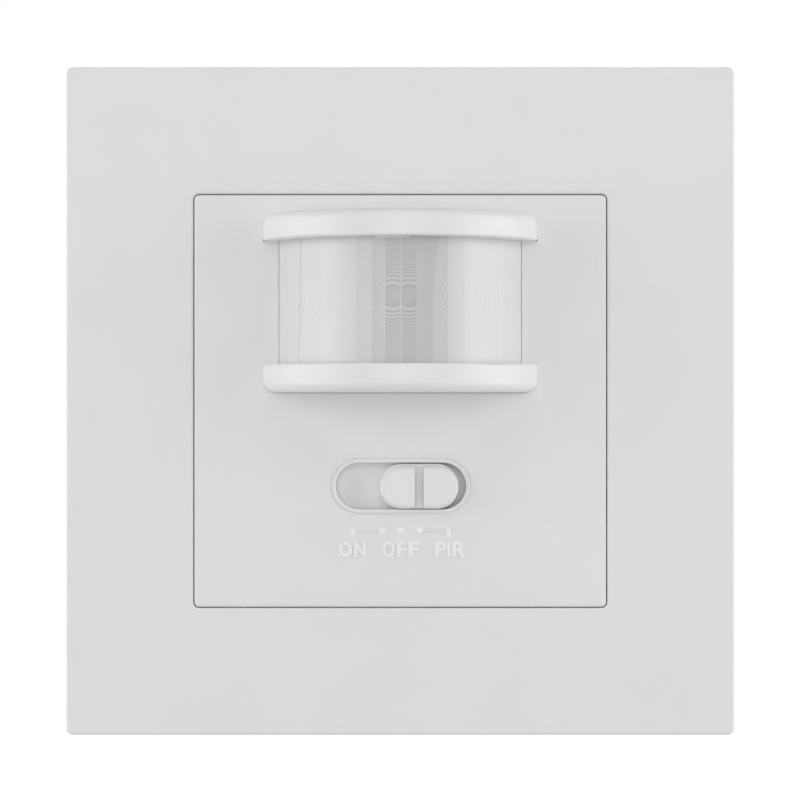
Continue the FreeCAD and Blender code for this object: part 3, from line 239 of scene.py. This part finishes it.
def circuit_board(name, colour):
    """Green solder mask with the faint lines of the copper tracks under it."""
    material, tree = start_material(name)
    place = object_place(tree)
    tracks = tree.nodes.new("ShaderNodeTexBrick")
    tree.links.new(place, tracks.inputs["Vector"])
    tracks.inputs["Scale"].default_value = 260
    tracks.inputs["Mortar Size"].default_value = 0.03
    tracks.inputs["Color1"].default_value = (*colour, 1)
    tracks.inputs["Color2"].default_value = (*tinted(colour, 1.12), 1)
    tracks.inputs["Mortar"].default_value = (*tinted(colour, 1.5), 1)
    gloss = spread(tree, noise(tree, place, 2 * MM), 0.28, 0.4)
    relief = bumps(tree, tracks.outputs["Fac"], 0.02 * MM)
    surface(tree, tracks.outputs["Color"], gloss, relief)
    return material


def smoked_window(name):
    """The dark filter that lets only heat through."""
    material, tree = start_material(name)
    place = object_place(tree)
    tone = spread(tree, noise(tree, place, 1 * MM), 0.0, 1.0)
    gloss = spread(tree, noise(tree, place, 0.5 * MM), 0.06, 0.14)
    relief = bumps(tree, noise(tree, place, 0.4 * MM), 0.001 * MM)
    surface(tree, shade(tree, tone, (0.07, 0.05, 0.06), (0.10, 0.075, 0.085)), gloss, relief, Coat_Weight=0.6)
    return material


def clear_resin(name):
    """Clear epoxy, faintly cloudy."""
    material, tree = start_material(name)
    place = object_place(tree)
    tone = spread(tree, noise(tree, place, 1 * MM), 0.0, 1.0)
    gloss = spread(tree, noise(tree, place, 0.6 * MM), 0.05, 0.14)
    relief = bumps(tree, noise(tree, place, 0.8 * MM), 0.002 * MM)
    surface(
        tree, shade(tree, tone, (0.78, 0.82, 0.85), (0.88, 0.90, 0.92)), gloss, relief,
        Transmission_Weight=0.8, IOR=1.5,
    )
    return material


# The lens. Its sheet has upright zones, and each zone has rings about a point of its own.
# Each zone: the turn in degrees where it starts, the turn of its rings' centre, how fast its rings get finer
# outwards (the area between two rings over pi, in square millimetres), and their strength.

LENS_ZONES = (
    (-64.0, -76.0, 4.0, 0.3),
    (-48.5, -62.0, 5.0, 0.45),
    (-36.3, -51.4, 3.2, 0.34),
    (-26.9, -40.6, 2.4, 0.24),
    (-19.3, -24.6, 1.8, 0.15),
    (-12.3, -12.7, 2.0, 0.12),
    (-6.5, -3.2, 2.0, 1.0),
    (0.3, 3.9, 2.0, 1.0),
    (7.1, 13.7, 2.0, 0.15),
    (13.3, 24.6, 1.8, 0.45),
    (20.1, 40.6, 2.4, 0.4),
    (28.1, 51.4, 3.2, 0.36),
    (37.2, 65.0, 5.0, 0.45),
    (47.5, 66.0, 3.0, 0.4),
    (56.2, 66.0, 3.0, 0.15),
)
LENS_END = 64.0
RING_CENTRE = 1
RING_RATE = 2
RING_STRENGTH = 3

# The zones' tones are painted shade for the dark inside seen through the milky sheet and the slant of each
# facet: darkest in the middle, in front of the sensor, and lighter more slowly to the right. The zones with
# the coarsest rings get a little more painted shade.
UNSHADED_TONE = 0.75
SHADED_TONE = 0.52
SHADE_PLACE = 1.5
SHADE_WIDTH_LEFT = 14.0
SHADE_WIDTH_RIGHT = 19.0
COARSE_RATE = 5.0
COARSE_SHADE = 0.96

# Each light seam: its turn and its half width in degrees. The dark seam leans by degrees per millimetre.
LENS_SEAMS = ((-6.5, 0.25), (0.3, 0.42), (7.1, 0.32), (13.3, 0.15))
SEAM_LIGHT = 0.07
DARK_SEAM = -48.6
DARK_SEAM_LEAN = 0.12
DARK_SEAM_HALF_WIDTH = 0.8
DARK_SEAM_SHADE = 0.11

# How far the turns, the rings' centres and their rates reach in the lookups, which only hold 0 to 1.
TURN_SPAN = 128.0
CENTRE_SPAN = 180.0
RATE_SPAN = 10.0

# The smooth eye inside the first ring, with painted shade at its rim, and how strongly the rings show as
# painted shade in the tone and stand out.
EYE_AREA = 1.516
EYE_SHADE = 0.22
RING_PAINTED_SHADE = 0.19
RING_WAVE = 0.9
RING_DEPTH = 0.010 * MM
RING_REACH = 6.3
FINEST_PITCH = 0.08
PITCH_RANGE = 0.25
SMALLEST_REACH = 0.2

# A painted highlight: the short light line below the upper visor, where the top edge of the sheet catches
# light.
EDGE_HEIGHT = 6.95
EDGE_HALF_HEIGHT = 0.09
EDGE_TURN = -3.6
EDGE_HALF_TURN = 7.4
EDGE_HIGHLIGHT = 0.7

# The dark band in the middle of the lens is painted shade, and its right border leans out towards the top.
BAND_START = 13.3
BAND_BORDER = 14.1
BAND_LEAN = 0.035
BAND_BEND = 2.0
BAND_SHADE = 0.08


def steps_over_turn(tree, turn, steps):
    """A value that changes in steps along the lens: each step is a turn in degrees and a value up to 1."""
    ramp = tree.nodes.new("ShaderNodeValToRGB")
    ramp.color_ramp.interpolation = "CONSTANT"
    part = maths(tree, "ADD", maths(tree, "DIVIDE", turn, TURN_SPAN), 0.5)
    tree.links.new(part, ramp.inputs["Fac"])
    stops = ramp.color_ramp.elements
    for number, (start, value) in enumerate(steps):
        place = start / TURN_SPAN + 0.5
        if number < 2:
            stops[number].position = place
            stop = stops[number]
        else:
            stop = stops.new(place)
        stop.color = (value, value, value, 1)
    return ramp.outputs["Color"]


def zone_painted_shade(start, end, rate):
    """The painted shade of one zone, from how far its middle is from the darkest place and how coarse its
    rings are.
    """
    away = (start + end) / 2 - SHADE_PLACE
    width = SHADE_WIDTH_LEFT if away < 0 else SHADE_WIDTH_RIGHT
    dip = (UNSHADED_TONE - SHADED_TONE) * math.exp(-(away / width) ** 2)
    return (UNSHADED_TONE - dip) * (COARSE_SHADE if rate >= COARSE_RATE else 1.0)


def lens_painted_shade(tree, turn):
    """The painted shade of each zone."""
    ends = [zone[0] for zone in LENS_ZONES[1:]] + [LENS_END]
    steps = [(zone[0], zone_painted_shade(zone[0], end, zone[RING_RATE])) for zone, end in zip(LENS_ZONES, ends)]
    return steps_over_turn(tree, turn, steps)


def near(tree, value, place, half_width):
    """1 within the half width of a place, else 0."""
    node = tree.nodes.new("ShaderNodeMath")
    node.operation = "COMPARE"
    feed(tree, node.inputs[0], value)
    feed(tree, node.inputs[1], place)
    feed(tree, node.inputs[2], half_width)
    return node.outputs[0]


def lens_seams(tree, turn, height):
    """Light lines between the middle zones and one dark line near the left end that leans a little."""
    total = 1.0
    for place, half_width in LENS_SEAMS:
        line = maths(tree, "MULTIPLY", near(tree, turn, place, half_width), SEAM_LIGHT)
        total = maths(tree, "ADD", line, total)
    leaning = maths(tree, "ADD", maths(tree, "MULTIPLY", height, DARK_SEAM_LEAN), DARK_SEAM)
    dark = maths(tree, "MULTIPLY", near(tree, turn, leaning, DARK_SEAM_HALF_WIDTH), DARK_SEAM_SHADE)
    return maths(tree, "SUBTRACT", total, dark)


def upper_edge_highlight(tree, turn, height):
    """1 on the painted highlight where the middle of the sheet meets the upper visor, else 0."""
    at_height = near(tree, height, EDGE_HEIGHT, EDGE_HALF_HEIGHT)
    return maths(tree, "MULTIPLY", at_height, near(tree, turn, EDGE_TURN, EDGE_HALF_TURN))


def on_seams(tree, turn):
    """1 on the light lines, where no ring is cut."""
    total = 0.0
    for place, half_width in LENS_SEAMS:
        total = maths(tree, "ADD", near(tree, turn, place, half_width), total)
    return total


def zone_values(tree, turn, column, share, shift=0.0):
    """A column of the table of zones, looked up over the turn. The lookup only holds values up to 1."""
    steps = [(zone[0], zone[column] / share + shift) for zone in LENS_ZONES]
    looked_up = steps_over_turn(tree, turn, steps)
    return maths(tree, "MULTIPLY", maths(tree, "SUBTRACT", looked_up, shift), share)


def limited(tree, value):
    """The value kept between 0 and 1."""
    return maths(tree, "MINIMUM", maths(tree, "MAXIMUM", value, 0.0), 1.0)


def ring_shape(tree, count, squared):
    """A wave for each ring outside the eye, and a shallow dish inside it."""
    outside = maths(tree, "GREATER_THAN", count, 0.0)
    wave = maths(tree, "COSINE", maths(tree, "MULTIPLY", count, 2 * math.pi))
    wave_shown = maths(tree, "MULTIPLY", maths(tree, "MULTIPLY", wave, RING_WAVE), outside)
    bulge = maths(tree, "POWER", maths(tree, "DIVIDE", squared, EYE_AREA), 3.0)
    eye = maths(tree, "ADD", maths(tree, "MULTIPLY", bulge, 1.0 - EYE_SHADE), EYE_SHADE)
    eye_shown = maths(tree, "MULTIPLY", eye, maths(tree, "SUBTRACT", 1.0, outside))
    return maths(tree, "ADD", wave_shown, eye_shown)


def ring_strength(tree, turn, height, rate, squared):
    """How strongly the rings show: not where they are too fine, on the seams or at the visors."""
    reach = maths(tree, "MAXIMUM", maths(tree, "SQRT", squared), SMALLEST_REACH)
    pitch = maths(tree, "DIVIDE", rate, maths(tree, "MULTIPLY", reach, 2.0))
    fineness = limited(tree, maths(tree, "DIVIDE", maths(tree, "SUBTRACT", pitch, FINEST_PITCH), PITCH_RANGE))
    border = limited(tree, maths(tree, "SUBTRACT", RING_REACH, maths(tree, "ABSOLUTE", height)))
    off_seams = maths(tree, "SUBTRACT", 1.0, on_seams(tree, turn))
    strength = maths(tree, "MULTIPLY", zone_values(tree, turn, RING_STRENGTH, 1.0), off_seams)
    return maths(tree, "MULTIPLY", strength, maths(tree, "MULTIPLY", fineness, border))


def ring_grooves(tree, turn, height):
    """The rings' grooves from -1 to 1, as wide as they are on the flat sheet."""
    away = maths(tree, "SUBTRACT", turn, zone_values(tree, turn, RING_CENTRE, CENTRE_SPAN, 0.5))
    across = maths(tree, "MULTIPLY", away, LENS_RADIUS * math.radians(1))
    across_squared = maths(tree, "MULTIPLY", across, across)
    squared = maths(tree, "ADD", across_squared, maths(tree, "MULTIPLY", height, height))
    rate = zone_values(tree, turn, RING_RATE, RATE_SPAN)
    count = maths(tree, "DIVIDE", maths(tree, "SUBTRACT", squared, EYE_AREA), rate)
    shape = maths(tree, "MULTIPLY", ring_shape(tree, count, squared), -1.0)
    return maths(tree, "MULTIPLY", shape, ring_strength(tree, turn, height, rate, squared))


def shaded_band(tree, turn, height):
    """1 between the last zone of the band of painted shade and its leaning border, else 0."""
    bend = maths(tree, "MAXIMUM", maths(tree, "ADD", height, BAND_BEND), 0.0)
    lean = maths(tree, "MULTIPLY", maths(tree, "MULTIPLY", bend, bend), BAND_LEAN)
    border = maths(tree, "ADD", lean, BAND_BORDER)
    before = maths(tree, "LESS_THAN", turn, border)
    return maths(tree, "MULTIPLY", before, maths(tree, "GREATER_THAN", turn, BAND_START))


def milky_lens(name):
    """Milky sheet: zones of painted shade, and rings cut round each zone's own centre that show as relief and
    as painted shade, with a painted highlight at its upper edge.
    """
    material, tree = start_material(name)
    place = object_place(tree, offset=(0, -LENS_AXIS, -LENS_MIDDLE * MM))
    parts = tree.nodes.new("ShaderNodeSeparateXYZ")
    tree.links.new(place, parts.inputs["Vector"])
    forward = maths(tree, "MULTIPLY", parts.outputs["Y"], -1.0)
    turn = maths(tree, "DEGREES", maths(tree, "ARCTAN2", parts.outputs["X"], forward))
    height = maths(tree, "DIVIDE", parts.outputs["Z"], MM)
    grooves = ring_grooves(tree, turn, height)
    # A band of painted shade in the middle of the sheet.
    band = maths(tree, "SUBTRACT", 1.0, maths(tree, "MULTIPLY", shaded_band(tree, turn, height), BAND_SHADE))
    # The rings' grooves also go into the colour as painted shade.
    rings = maths(tree, "ADD", maths(tree, "MULTIPLY", grooves, RING_PAINTED_SHADE), 1.0)
    # The painted highlight on the sheet's upper edge.
    edge = maths(tree, "MULTIPLY", upper_edge_highlight(tree, turn, height), EDGE_HIGHLIGHT)
    seams = maths(tree, "ADD", lens_seams(tree, turn, height), edge)
    lines = maths(tree, "MULTIPLY", seams, rings)
    # The sheet's colour: the zones' painted shade times the band's painted shade, the rings' painted shade,
    # the light lines and the upper edge's painted highlight.
    tone = maths(tree, "MULTIPLY", lens_painted_shade(tree, turn), maths(tree, "MULTIPLY", band, lines))
    colour = tree.nodes.new("ShaderNodeCombineColor")
    for channel in ("Red", "Green", "Blue"):
        tree.links.new(tone, colour.inputs[channel])
    relief = bumps(tree, grooves, RING_DEPTH)
    waves = bumps(tree, noise(tree, object_place(tree), 4 * MM, 1.0), 0.003 * MM, relief)
    gloss = spread(tree, noise(tree, object_place(tree), 2 * MM), 0.28, 0.36)
    surface(
        tree, colour.outputs["Color"], gloss, waves,
        Subsurface_Weight=0.4, Subsurface_Radius=(1, 1, 1), Subsurface_Scale=1.5 * MM,
    )
    return material


WHITE = (0.80, 0.80, 0.80)
HEAD_WHITE = (0.81, 0.81, 0.81)
# The skirt behind the plate face is whiter than the plate: painted light against the shade in the slot.
SKIRT_PAINTED_LIGHT = (0.88, 0.88, 0.88)
# The raised marks are whiter than the plate: painted highlight for the light their rounded strokes catch.
MARK_HIGHLIGHT_WHITE = (0.88, 0.88, 0.88)
YELLOW = (0.72, 0.52, 0.10)
SLEEVE = (0.03, 0.03, 0.045)

finishes = {
    "faceplate_white": moulded_plastic("faceplate_white", WHITE, 0.5, 0.30 * MM, 0.004 * MM),
    "mark_white_highlight": moulded_plastic("mark_white_highlight", MARK_HIGHLIGHT_WHITE, 0.36, 0.3 * MM, 0.002 * MM, 0.006),
    "head_white": moulded_plastic("head_white", HEAD_WHITE, 0.34, 0.6 * MM, 0.0015 * MM, 0.006),
    # The knob's skirt, behind the plate face, gets the whiter colour as painted light against the shade in
    # the slot.
    "knob_white": two_whites(
        "knob_white", WHITE, SKIRT_PAINTED_LIGHT, PLATE_FACE, 0.36, 0.6 * MM, 0.0015 * MM, 0.006,
    ),
    "lens_milky": milky_lens("lens_milky"),
    "chassis_grey": moulded_plastic("chassis_grey", (0.66, 0.66, 0.65), 0.5, 0.4 * MM, 0.006 * MM),
    "housing_white": moulded_plastic("housing_white", (0.70, 0.70, 0.69), 0.45, 0.4 * MM, 0.006 * MM),
    "zinc_steel": plated_steel("zinc_steel", (0.62, 0.63, 0.65), 0.34),
    "screw_steel": turned_metal("screw_steel", (0.62, 0.62, 0.62), 0.3),
    "brass": turned_metal("brass", (0.78, 0.60, 0.30), 0.25),
    "tinned_copper": turned_metal("tinned_copper", (0.74, 0.73, 0.70), 0.28),
    "board_green": circuit_board("board_green", (0.04, 0.19, 0.08)),
    "chip_black": moulded_plastic("chip_black", (0.03, 0.03, 0.03), 0.55, 0.15 * MM, 0.004 * MM, 0.1),
    "can_metal": turned_metal("can_metal", (0.72, 0.72, 0.73), 0.26),
    "filter_dark": smoked_window("filter_dark"),
    "clear_epoxy": clear_resin("clear_epoxy"),
    "relay_black": moulded_plastic("relay_black", (0.035, 0.035, 0.04), 0.4, 0.3 * MM, 0.004 * MM, 0.08),
    "capacitor_yellow": moulded_plastic("capacitor_yellow", YELLOW, 0.4, 0.4 * MM, 0.005 * MM, 0.04),
    "capacitor_sleeve": moulded_plastic("capacitor_sleeve", SLEEVE, 0.22, 0.8 * MM, 0.002 * MM, 0.06),
    "varistor_blue": moulded_plastic("varistor_blue", (0.05, 0.13, 0.38), 0.35, 0.9 * MM, 0.02 * MM, 0.08),
    "fuse_grey": moulded_plastic("fuse_grey", (0.66, 0.63, 0.54), 0.6, 0.2 * MM, 0.006 * MM, 0.05),
    "trimmer_blue": moulded_plastic("trimmer_blue", (0.06, 0.16, 0.45), 0.4, 0.3 * MM, 0.004 * MM, 0.05),
    "rotor_white": moulded_plastic("rotor_white", (0.76, 0.76, 0.73), 0.4, 0.3 * MM, 0.004 * MM),
    "switch_black": moulded_plastic("switch_black", (0.035, 0.035, 0.035), 0.45, 0.25 * MM, 0.005 * MM, 0.08),
    "terminal_green": moulded_plastic("terminal_green", (0.08, 0.32, 0.14), 0.4, 0.35 * MM, 0.005 * MM, 0.04),
}


def dress_cad_nodes():
    """Each CAD node gets the finish of its own material slot."""
    for subpart in frame["record"]["subparts"]:
        node = nodes[subpart["node"]]
        node.data.materials.clear()
        node.data.materials.append(finishes[subpart["material_slot"]])


# Tools for pieces

def deselect():
    for thing in bpy.context.selected_objects:
        thing.select_set(False)


def finish_piece(piece, name, body, slot, finish=None):
    """Puts the piece's place into its mesh, and gives it its name, finish and body."""
    deselect()
    piece.select_set(True)
    bpy.context.view_layer.objects.active = piece
    bpy.ops.object.transform_apply(location=True, rotation=True, scale=True)
    piece.name = name
    piece.data.name = name
    piece.data.materials.clear()
    piece.data.materials.append(finishes[finish or slot])
    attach(piece, body)
    return piece


# The raised marks below the knob. Each letter has its own left and right side in millimetres.

WORDS = {
    "on": (("O", -7.42, -5.87), ("N", -5.62, -4.20)),
    "off": (("O", -2.18, -0.62), ("F", -0.46, 0.88), ("F", 0.97, 2.32)),
    "pir": (("P", 4.21, 5.65), ("I", 5.66, 6.08), ("R", 6.30, 7.98)),
}
WORD_LOW = -19.00
WORD_HIGH = -17.02
DOTS = (-2.16, 0.07, 2.33)
DOT_Z = -15.70
DOT_RADIUS = 0.5
BRACKET_LOW = -15.92
BRACKET_HIGH = -15.50
TICKS = ((-6.01, -5.42), (5.57, 6.14))
TICK_LOW = -16.57
MARK_OVERLAP = 0.12
MARK_ROUND = 0.14

# The strokes of a letter are moulded at one unit of height, before it is fitted between its sides.
STROKE_OFFSET = -0.015
STROKE_DEPTH = 0.03
STROKE_ROUND = 0.06


def raised_letter(letter, left, right):
    """One letter with round edges that stands on the plate."""
    deselect()
    bpy.ops.object.text_add(rotation=(math.pi / 2, 0, 0))
    text = bpy.context.object
    text.data.body = letter
    text.data.size = 1.0
    text.data.offset = STROKE_OFFSET
    text.data.extrude = STROKE_DEPTH
    text.data.bevel_depth = STROKE_ROUND
    text.data.bevel_resolution = 4
    bpy.ops.object.convert(target="MESH")
    mark = bpy.context.object
    corners = [vertex.co for vertex in mark.data.vertices]
    low_x = min(corner.x for corner in corners)
    high_x = max(corner.x for corner in corners)
    low_y = min(corner.y for corner in corners)
    high_y = max(corner.y for corner in corners)
    low_z = min(corner.z for corner in corners)
    high_z = max(corner.z for corner in corners)
    across = (right - left) * MM / (high_x - low_x)
    up = (WORD_HIGH - WORD_LOW) * MM / (high_y - low_y)
    out = 2 * MARK_HEIGHT / (high_z - low_z)
    mark.scale = (across, up, out)
    mark.location = (left * MM - low_x * across, PLATE_FACE, WORD_LOW * MM - low_y * up)
    return mark


def raised_word(word, letters):
    """A generic function word, its letters joined into one piece."""
    marks = [raised_letter(letter, left, right) for letter, left, right in letters]
    deselect()
    for mark in marks:
        mark.select_set(True)
    bpy.context.view_layer.objects.active = marks[0]
    bpy.ops.object.join()
    bpy.ops.object.shade_smooth_by_angle(angle=math.radians(50))
    return finish_piece(bpy.context.object, "mark_" + word, "cover", "faceplate_white", "mark_white_highlight")


def raised_bar(name, left, right, low, high, finish):
    """A flat bar with rounded edges."""
    deselect()
    bpy.ops.mesh.primitive_cube_add(
        size=1,
        location=((left + right) / 2 * MM, PLATE_FACE, (low + high) / 2 * MM),
        scale=((right - left) * MM, 2 * MARK_HEIGHT, (high - low) * MM),
    )
    bar = bpy.context.object
    bpy.ops.object.transform_apply(location=False, rotation=False, scale=True)
    bevel = bar.modifiers.new("round", "BEVEL")
    bevel.width = MARK_ROUND * MM
    bevel.segments = 3
    bpy.ops.object.modifier_apply(modifier=bevel.name)
    bpy.ops.object.shade_smooth_by_angle(angle=math.radians(50))
    return finish_piece(bar, name, "cover", "faceplate_white", finish)


def raised_dot(number, x):
    """A round stud with a soft rim."""
    deselect()
    bpy.ops.mesh.primitive_cylinder_add(
        vertices=32, radius=DOT_RADIUS * MM, depth=2 * MARK_HEIGHT,
        location=(x * MM, PLATE_FACE, DOT_Z * MM), rotation=(math.pi / 2, 0, 0),
    )
    dot = bpy.context.object
    bevel = dot.modifiers.new("round", "BEVEL")
    bevel.width = MARK_ROUND * MM
    bevel.segments = 4
    bpy.ops.object.modifier_apply(modifier=bevel.name)
    bpy.ops.object.shade_smooth_by_angle(angle=math.radians(50))
    return finish_piece(dot, f"mark_dot_{number}", "cover", "faceplate_white", "mark_white_highlight")


# Letters, dots and ticks get the whiter finish as painted highlight; the lines keep the plate's white.
def raised_marks():
    for word, letters in WORDS.items():
        raised_word(word, letters)
    for number, x in enumerate(DOTS, start=1):
        raised_dot(number, x)
    rim = DOT_RADIUS - MARK_OVERLAP
    left_line = (TICKS[0][1] - MARK_OVERLAP, DOTS[0] - rim)
    right_line = (DOTS[-1] + rim, TICKS[1][0] + MARK_OVERLAP)
    for side, line, tick in (("left", left_line, TICKS[0]), ("right", right_line, TICKS[1])):
        raised_bar(f"mark_line_{side}", *line, BRACKET_LOW, BRACKET_HIGH, "faceplate_white")
        raised_bar(f"mark_tick_{side}", *tick, TICK_LOW, BRACKET_HIGH, "mark_white_highlight")


# The claw screws get a real thread in place of their plain shafts.

CLAW_SCREWS = {"left": -23.8, "right": 23.8}
CLAW_SHAFT_START = -1.0
CLAW_SHAFT_RADIUS = 1.45
THREAD_ROOT = 1.22
THREAD_OVERLAP = 0.1
THREAD_PITCH = 0.5
THREAD_START = 0.3
THREAD_TURNS = 36
THREAD_STEPS = 24
THREAD_HALF_BASE = 0.45
SLACK = 0.02
WELD = 0.001 * MM


def thinner_shaft(piece, x):
    """Brings the shaft of a screw that stands along Y down to the bottom of its thread."""
    for vertex in piece.data.vertices:
        away = math.hypot(vertex.co.x - x, vertex.co.z)
        past_head = vertex.co.y > (CLAW_SHAFT_START - SLACK) * MM
        vertex.select = past_head and away < (CLAW_SHAFT_RADIUS + SLACK) * MM
    bpy.context.view_layer.objects.active = piece
    piece.select_set(True)
    bpy.ops.object.mode_set(mode="EDIT")
    share = THREAD_ROOT / CLAW_SHAFT_RADIUS
    bpy.ops.transform.resize(value=(share, 1, share), center_override=(x, 0, 0))
    bpy.ops.object.mode_set(mode="OBJECT")


def thread_ridge(x):
    """One ridge of triangular section wound round the shaft, closed at both ends."""
    deselect()
    place = (x, THREAD_START * MM, 0)
    bpy.ops.mesh.primitive_circle_add(vertices=3, radius=THREAD_PITCH * MM, location=place)
    ridge = bpy.context.object
    inner = (THREAD_ROOT - THREAD_OVERLAP) * MM
    half_base = THREAD_HALF_BASE * THREAD_PITCH * MM
    corners = ((inner, -half_base), (CLAW_SHAFT_RADIUS * MM, 0), (inner, half_base))
    for vertex, (out, along) in zip(ridge.data.vertices, corners):
        vertex.co = (out, along, 0)
    winding = ridge.modifiers.new("winding", "SCREW")
    winding.axis = "Y"
    winding.screw_offset = THREAD_PITCH * MM
    winding.iterations = THREAD_TURNS
    winding.steps = THREAD_STEPS
    winding.render_steps = THREAD_STEPS
    bpy.ops.object.modifier_apply(modifier=winding.name)
    bpy.ops.object.mode_set(mode="EDIT")
    bpy.ops.mesh.select_all(action="SELECT")
    bpy.ops.mesh.fill_holes(sides=3)
    bpy.ops.mesh.normals_make_consistent(inside=False)
    bpy.ops.object.mode_set(mode="OBJECT")
    return ridge


def welded_copy(node):
    """A copy of a CAD node whose faces share their corners."""
    piece = bpy.data.objects.new("screw", node.data.copy())
    bpy.context.scene.collection.objects.link(piece)
    deselect()
    piece.select_set(True)
    bpy.context.view_layer.objects.active = piece
    bpy.ops.object.mode_set(mode="EDIT")
    bpy.ops.mesh.select_all(action="SELECT")
    bpy.ops.mesh.remove_doubles(threshold=WELD)
    bpy.ops.mesh.select_all(action="DESELECT")
    bpy.ops.object.mode_set(mode="OBJECT")
    return piece


def threaded_claw_screws():
    for side, place in CLAW_SCREWS.items():
        x = place * MM
        screw = welded_copy(nodes["claw_screw_" + side])
        thinner_shaft(screw, x)
        ridge = thread_ridge(x)
        deselect()
        ridge.select_set(True)
        screw.select_set(True)
        bpy.context.view_layer.objects.active = screw
        bpy.ops.object.join()
        bpy.ops.object.shade_smooth_by_angle(angle=math.radians(35))
        piece = finish_piece(screw, "threaded_claw_screw_" + side, side + "_claw_screw", "screw_steel")
        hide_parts("claw_screw_" + side)


# Camera, lamps, background and floor

CAMERA_DISTANCE = 0.305
VIEW_WIDTH = 0.0970
SENSOR_WIDTH = 36.0
CAMERA_X = -0.03 * MM
CAMERA_Z = 0.12 * MM
AMBIENT = 0.13
FLOOR_SIDE = 1.2
FLOOR_LEVEL = -0.17


def camera():
    """On the object's axis, as far away as the photograph's perspective says."""
    data = bpy.data.cameras.new("camera")
    thing = bpy.data.objects.new("camera", data)
    bpy.context.scene.collection.objects.link(thing)
    data.sensor_width = SENSOR_WIDTH
    data.lens = SENSOR_WIDTH * CAMERA_DISTANCE / VIEW_WIDTH
    thing.location = (CAMERA_X, PLATE_FACE - CAMERA_DISTANCE, CAMERA_Z)
    thing.rotation_euler = (math.pi / 2, 0, 0)
    data.clip_start = 0.01
    bpy.context.scene.camera = thing


def soft_lamp(name, azimuth, elevation, distance, size, power):
    """A square soft box that looks at the object. Azimuth 0 is in front, 90 on the right."""
    data = bpy.data.lights.new(name, "AREA")
    data.shape = "SQUARE"
    data.size = size
    data.energy = power
    lamp = bpy.data.objects.new(name, data)
    bpy.context.scene.collection.objects.link(lamp)
    turn = math.radians(azimuth)
    rise = math.radians(elevation)
    lamp.location = (
        distance * math.sin(turn) * math.cos(rise),
        -distance * math.cos(turn) * math.cos(rise),
        distance * math.sin(rise),
    )
    lamp.rotation_euler = (math.pi / 2 - rise, 0, turn)


def lamps():
    soft_lamp("lamp_front", 0, 8, 0.9, 0.55, 1.9)
    soft_lamp("lamp_top", 0, 62, 0.9, 0.7, 1.7)
    soft_lamp("lamp_left", -72, 8, 0.7, 0.6, 2.5)
    soft_lamp("lamp_right", 72, 8, 0.7, 0.6, 2.65)
    soft_lamp("lamp_back", 180, 30, 0.9, 0.7, 2.5)


def world():
    """Even soft light. What the camera, gloss and glass see of it is plain white."""
    scene_world = bpy.data.worlds.new("studio")
    bpy.context.scene.world = scene_world
    scene_world.use_nodes = True
    tree = scene_world.node_tree
    tree.nodes.clear()
    output = tree.nodes.new("ShaderNodeOutputWorld")
    ambient = tree.nodes.new("ShaderNodeBackground")
    ambient.inputs["Strength"].default_value = AMBIENT
    ambient.inputs["Color"].default_value = (1, 1, 1, 1)
    seen = tree.nodes.new("ShaderNodeBackground")
    seen.inputs["Strength"].default_value = 1.0
    seen.inputs["Color"].default_value = (1, 1, 1, 1)
    ray = tree.nodes.new("ShaderNodeLightPath")
    direct = maths(tree, "MAXIMUM", ray.outputs["Is Camera Ray"], ray.outputs["Is Glossy Ray"])
    shown = maths(tree, "MAXIMUM", direct, ray.outputs["Is Transmission Ray"])
    mix = tree.nodes.new("ShaderNodeMixShader")
    tree.links.new(shown, mix.inputs["Fac"])
    tree.links.new(ambient.outputs["Background"], mix.inputs[1])
    tree.links.new(seen.outputs["Background"], mix.inputs[2])
    tree.links.new(mix.outputs["Shader"], output.inputs["Surface"])


def pale_floor():
    """A plain pale floor below the view, as wide as the studio."""
    deselect()
    bpy.ops.mesh.primitive_plane_add(size=FLOOR_SIDE, location=(0, 0, FLOOR_LEVEL))
    floor = bpy.context.object
    floor.name = "floor"
    material, tree = start_material("floor_paper")
    place = object_place(tree)
    tone = spread(tree, noise(tree, place, 30 * MM), 0.0, 1.0)
    relief = bumps(tree, noise(tree, place, 1 * MM), 0.02 * MM)
    surface(tree, shade(tree, tone, (0.74, 0.74, 0.74), (0.76, 0.76, 0.76)), 0.8, relief)
    floor.data.materials.append(material)


bpy.context.scene.view_settings.view_transform = "Standard"
camera()
lamps()
world()
pale_floor()
dress_cad_nodes()
raised_marks()
threaded_claw_screws()
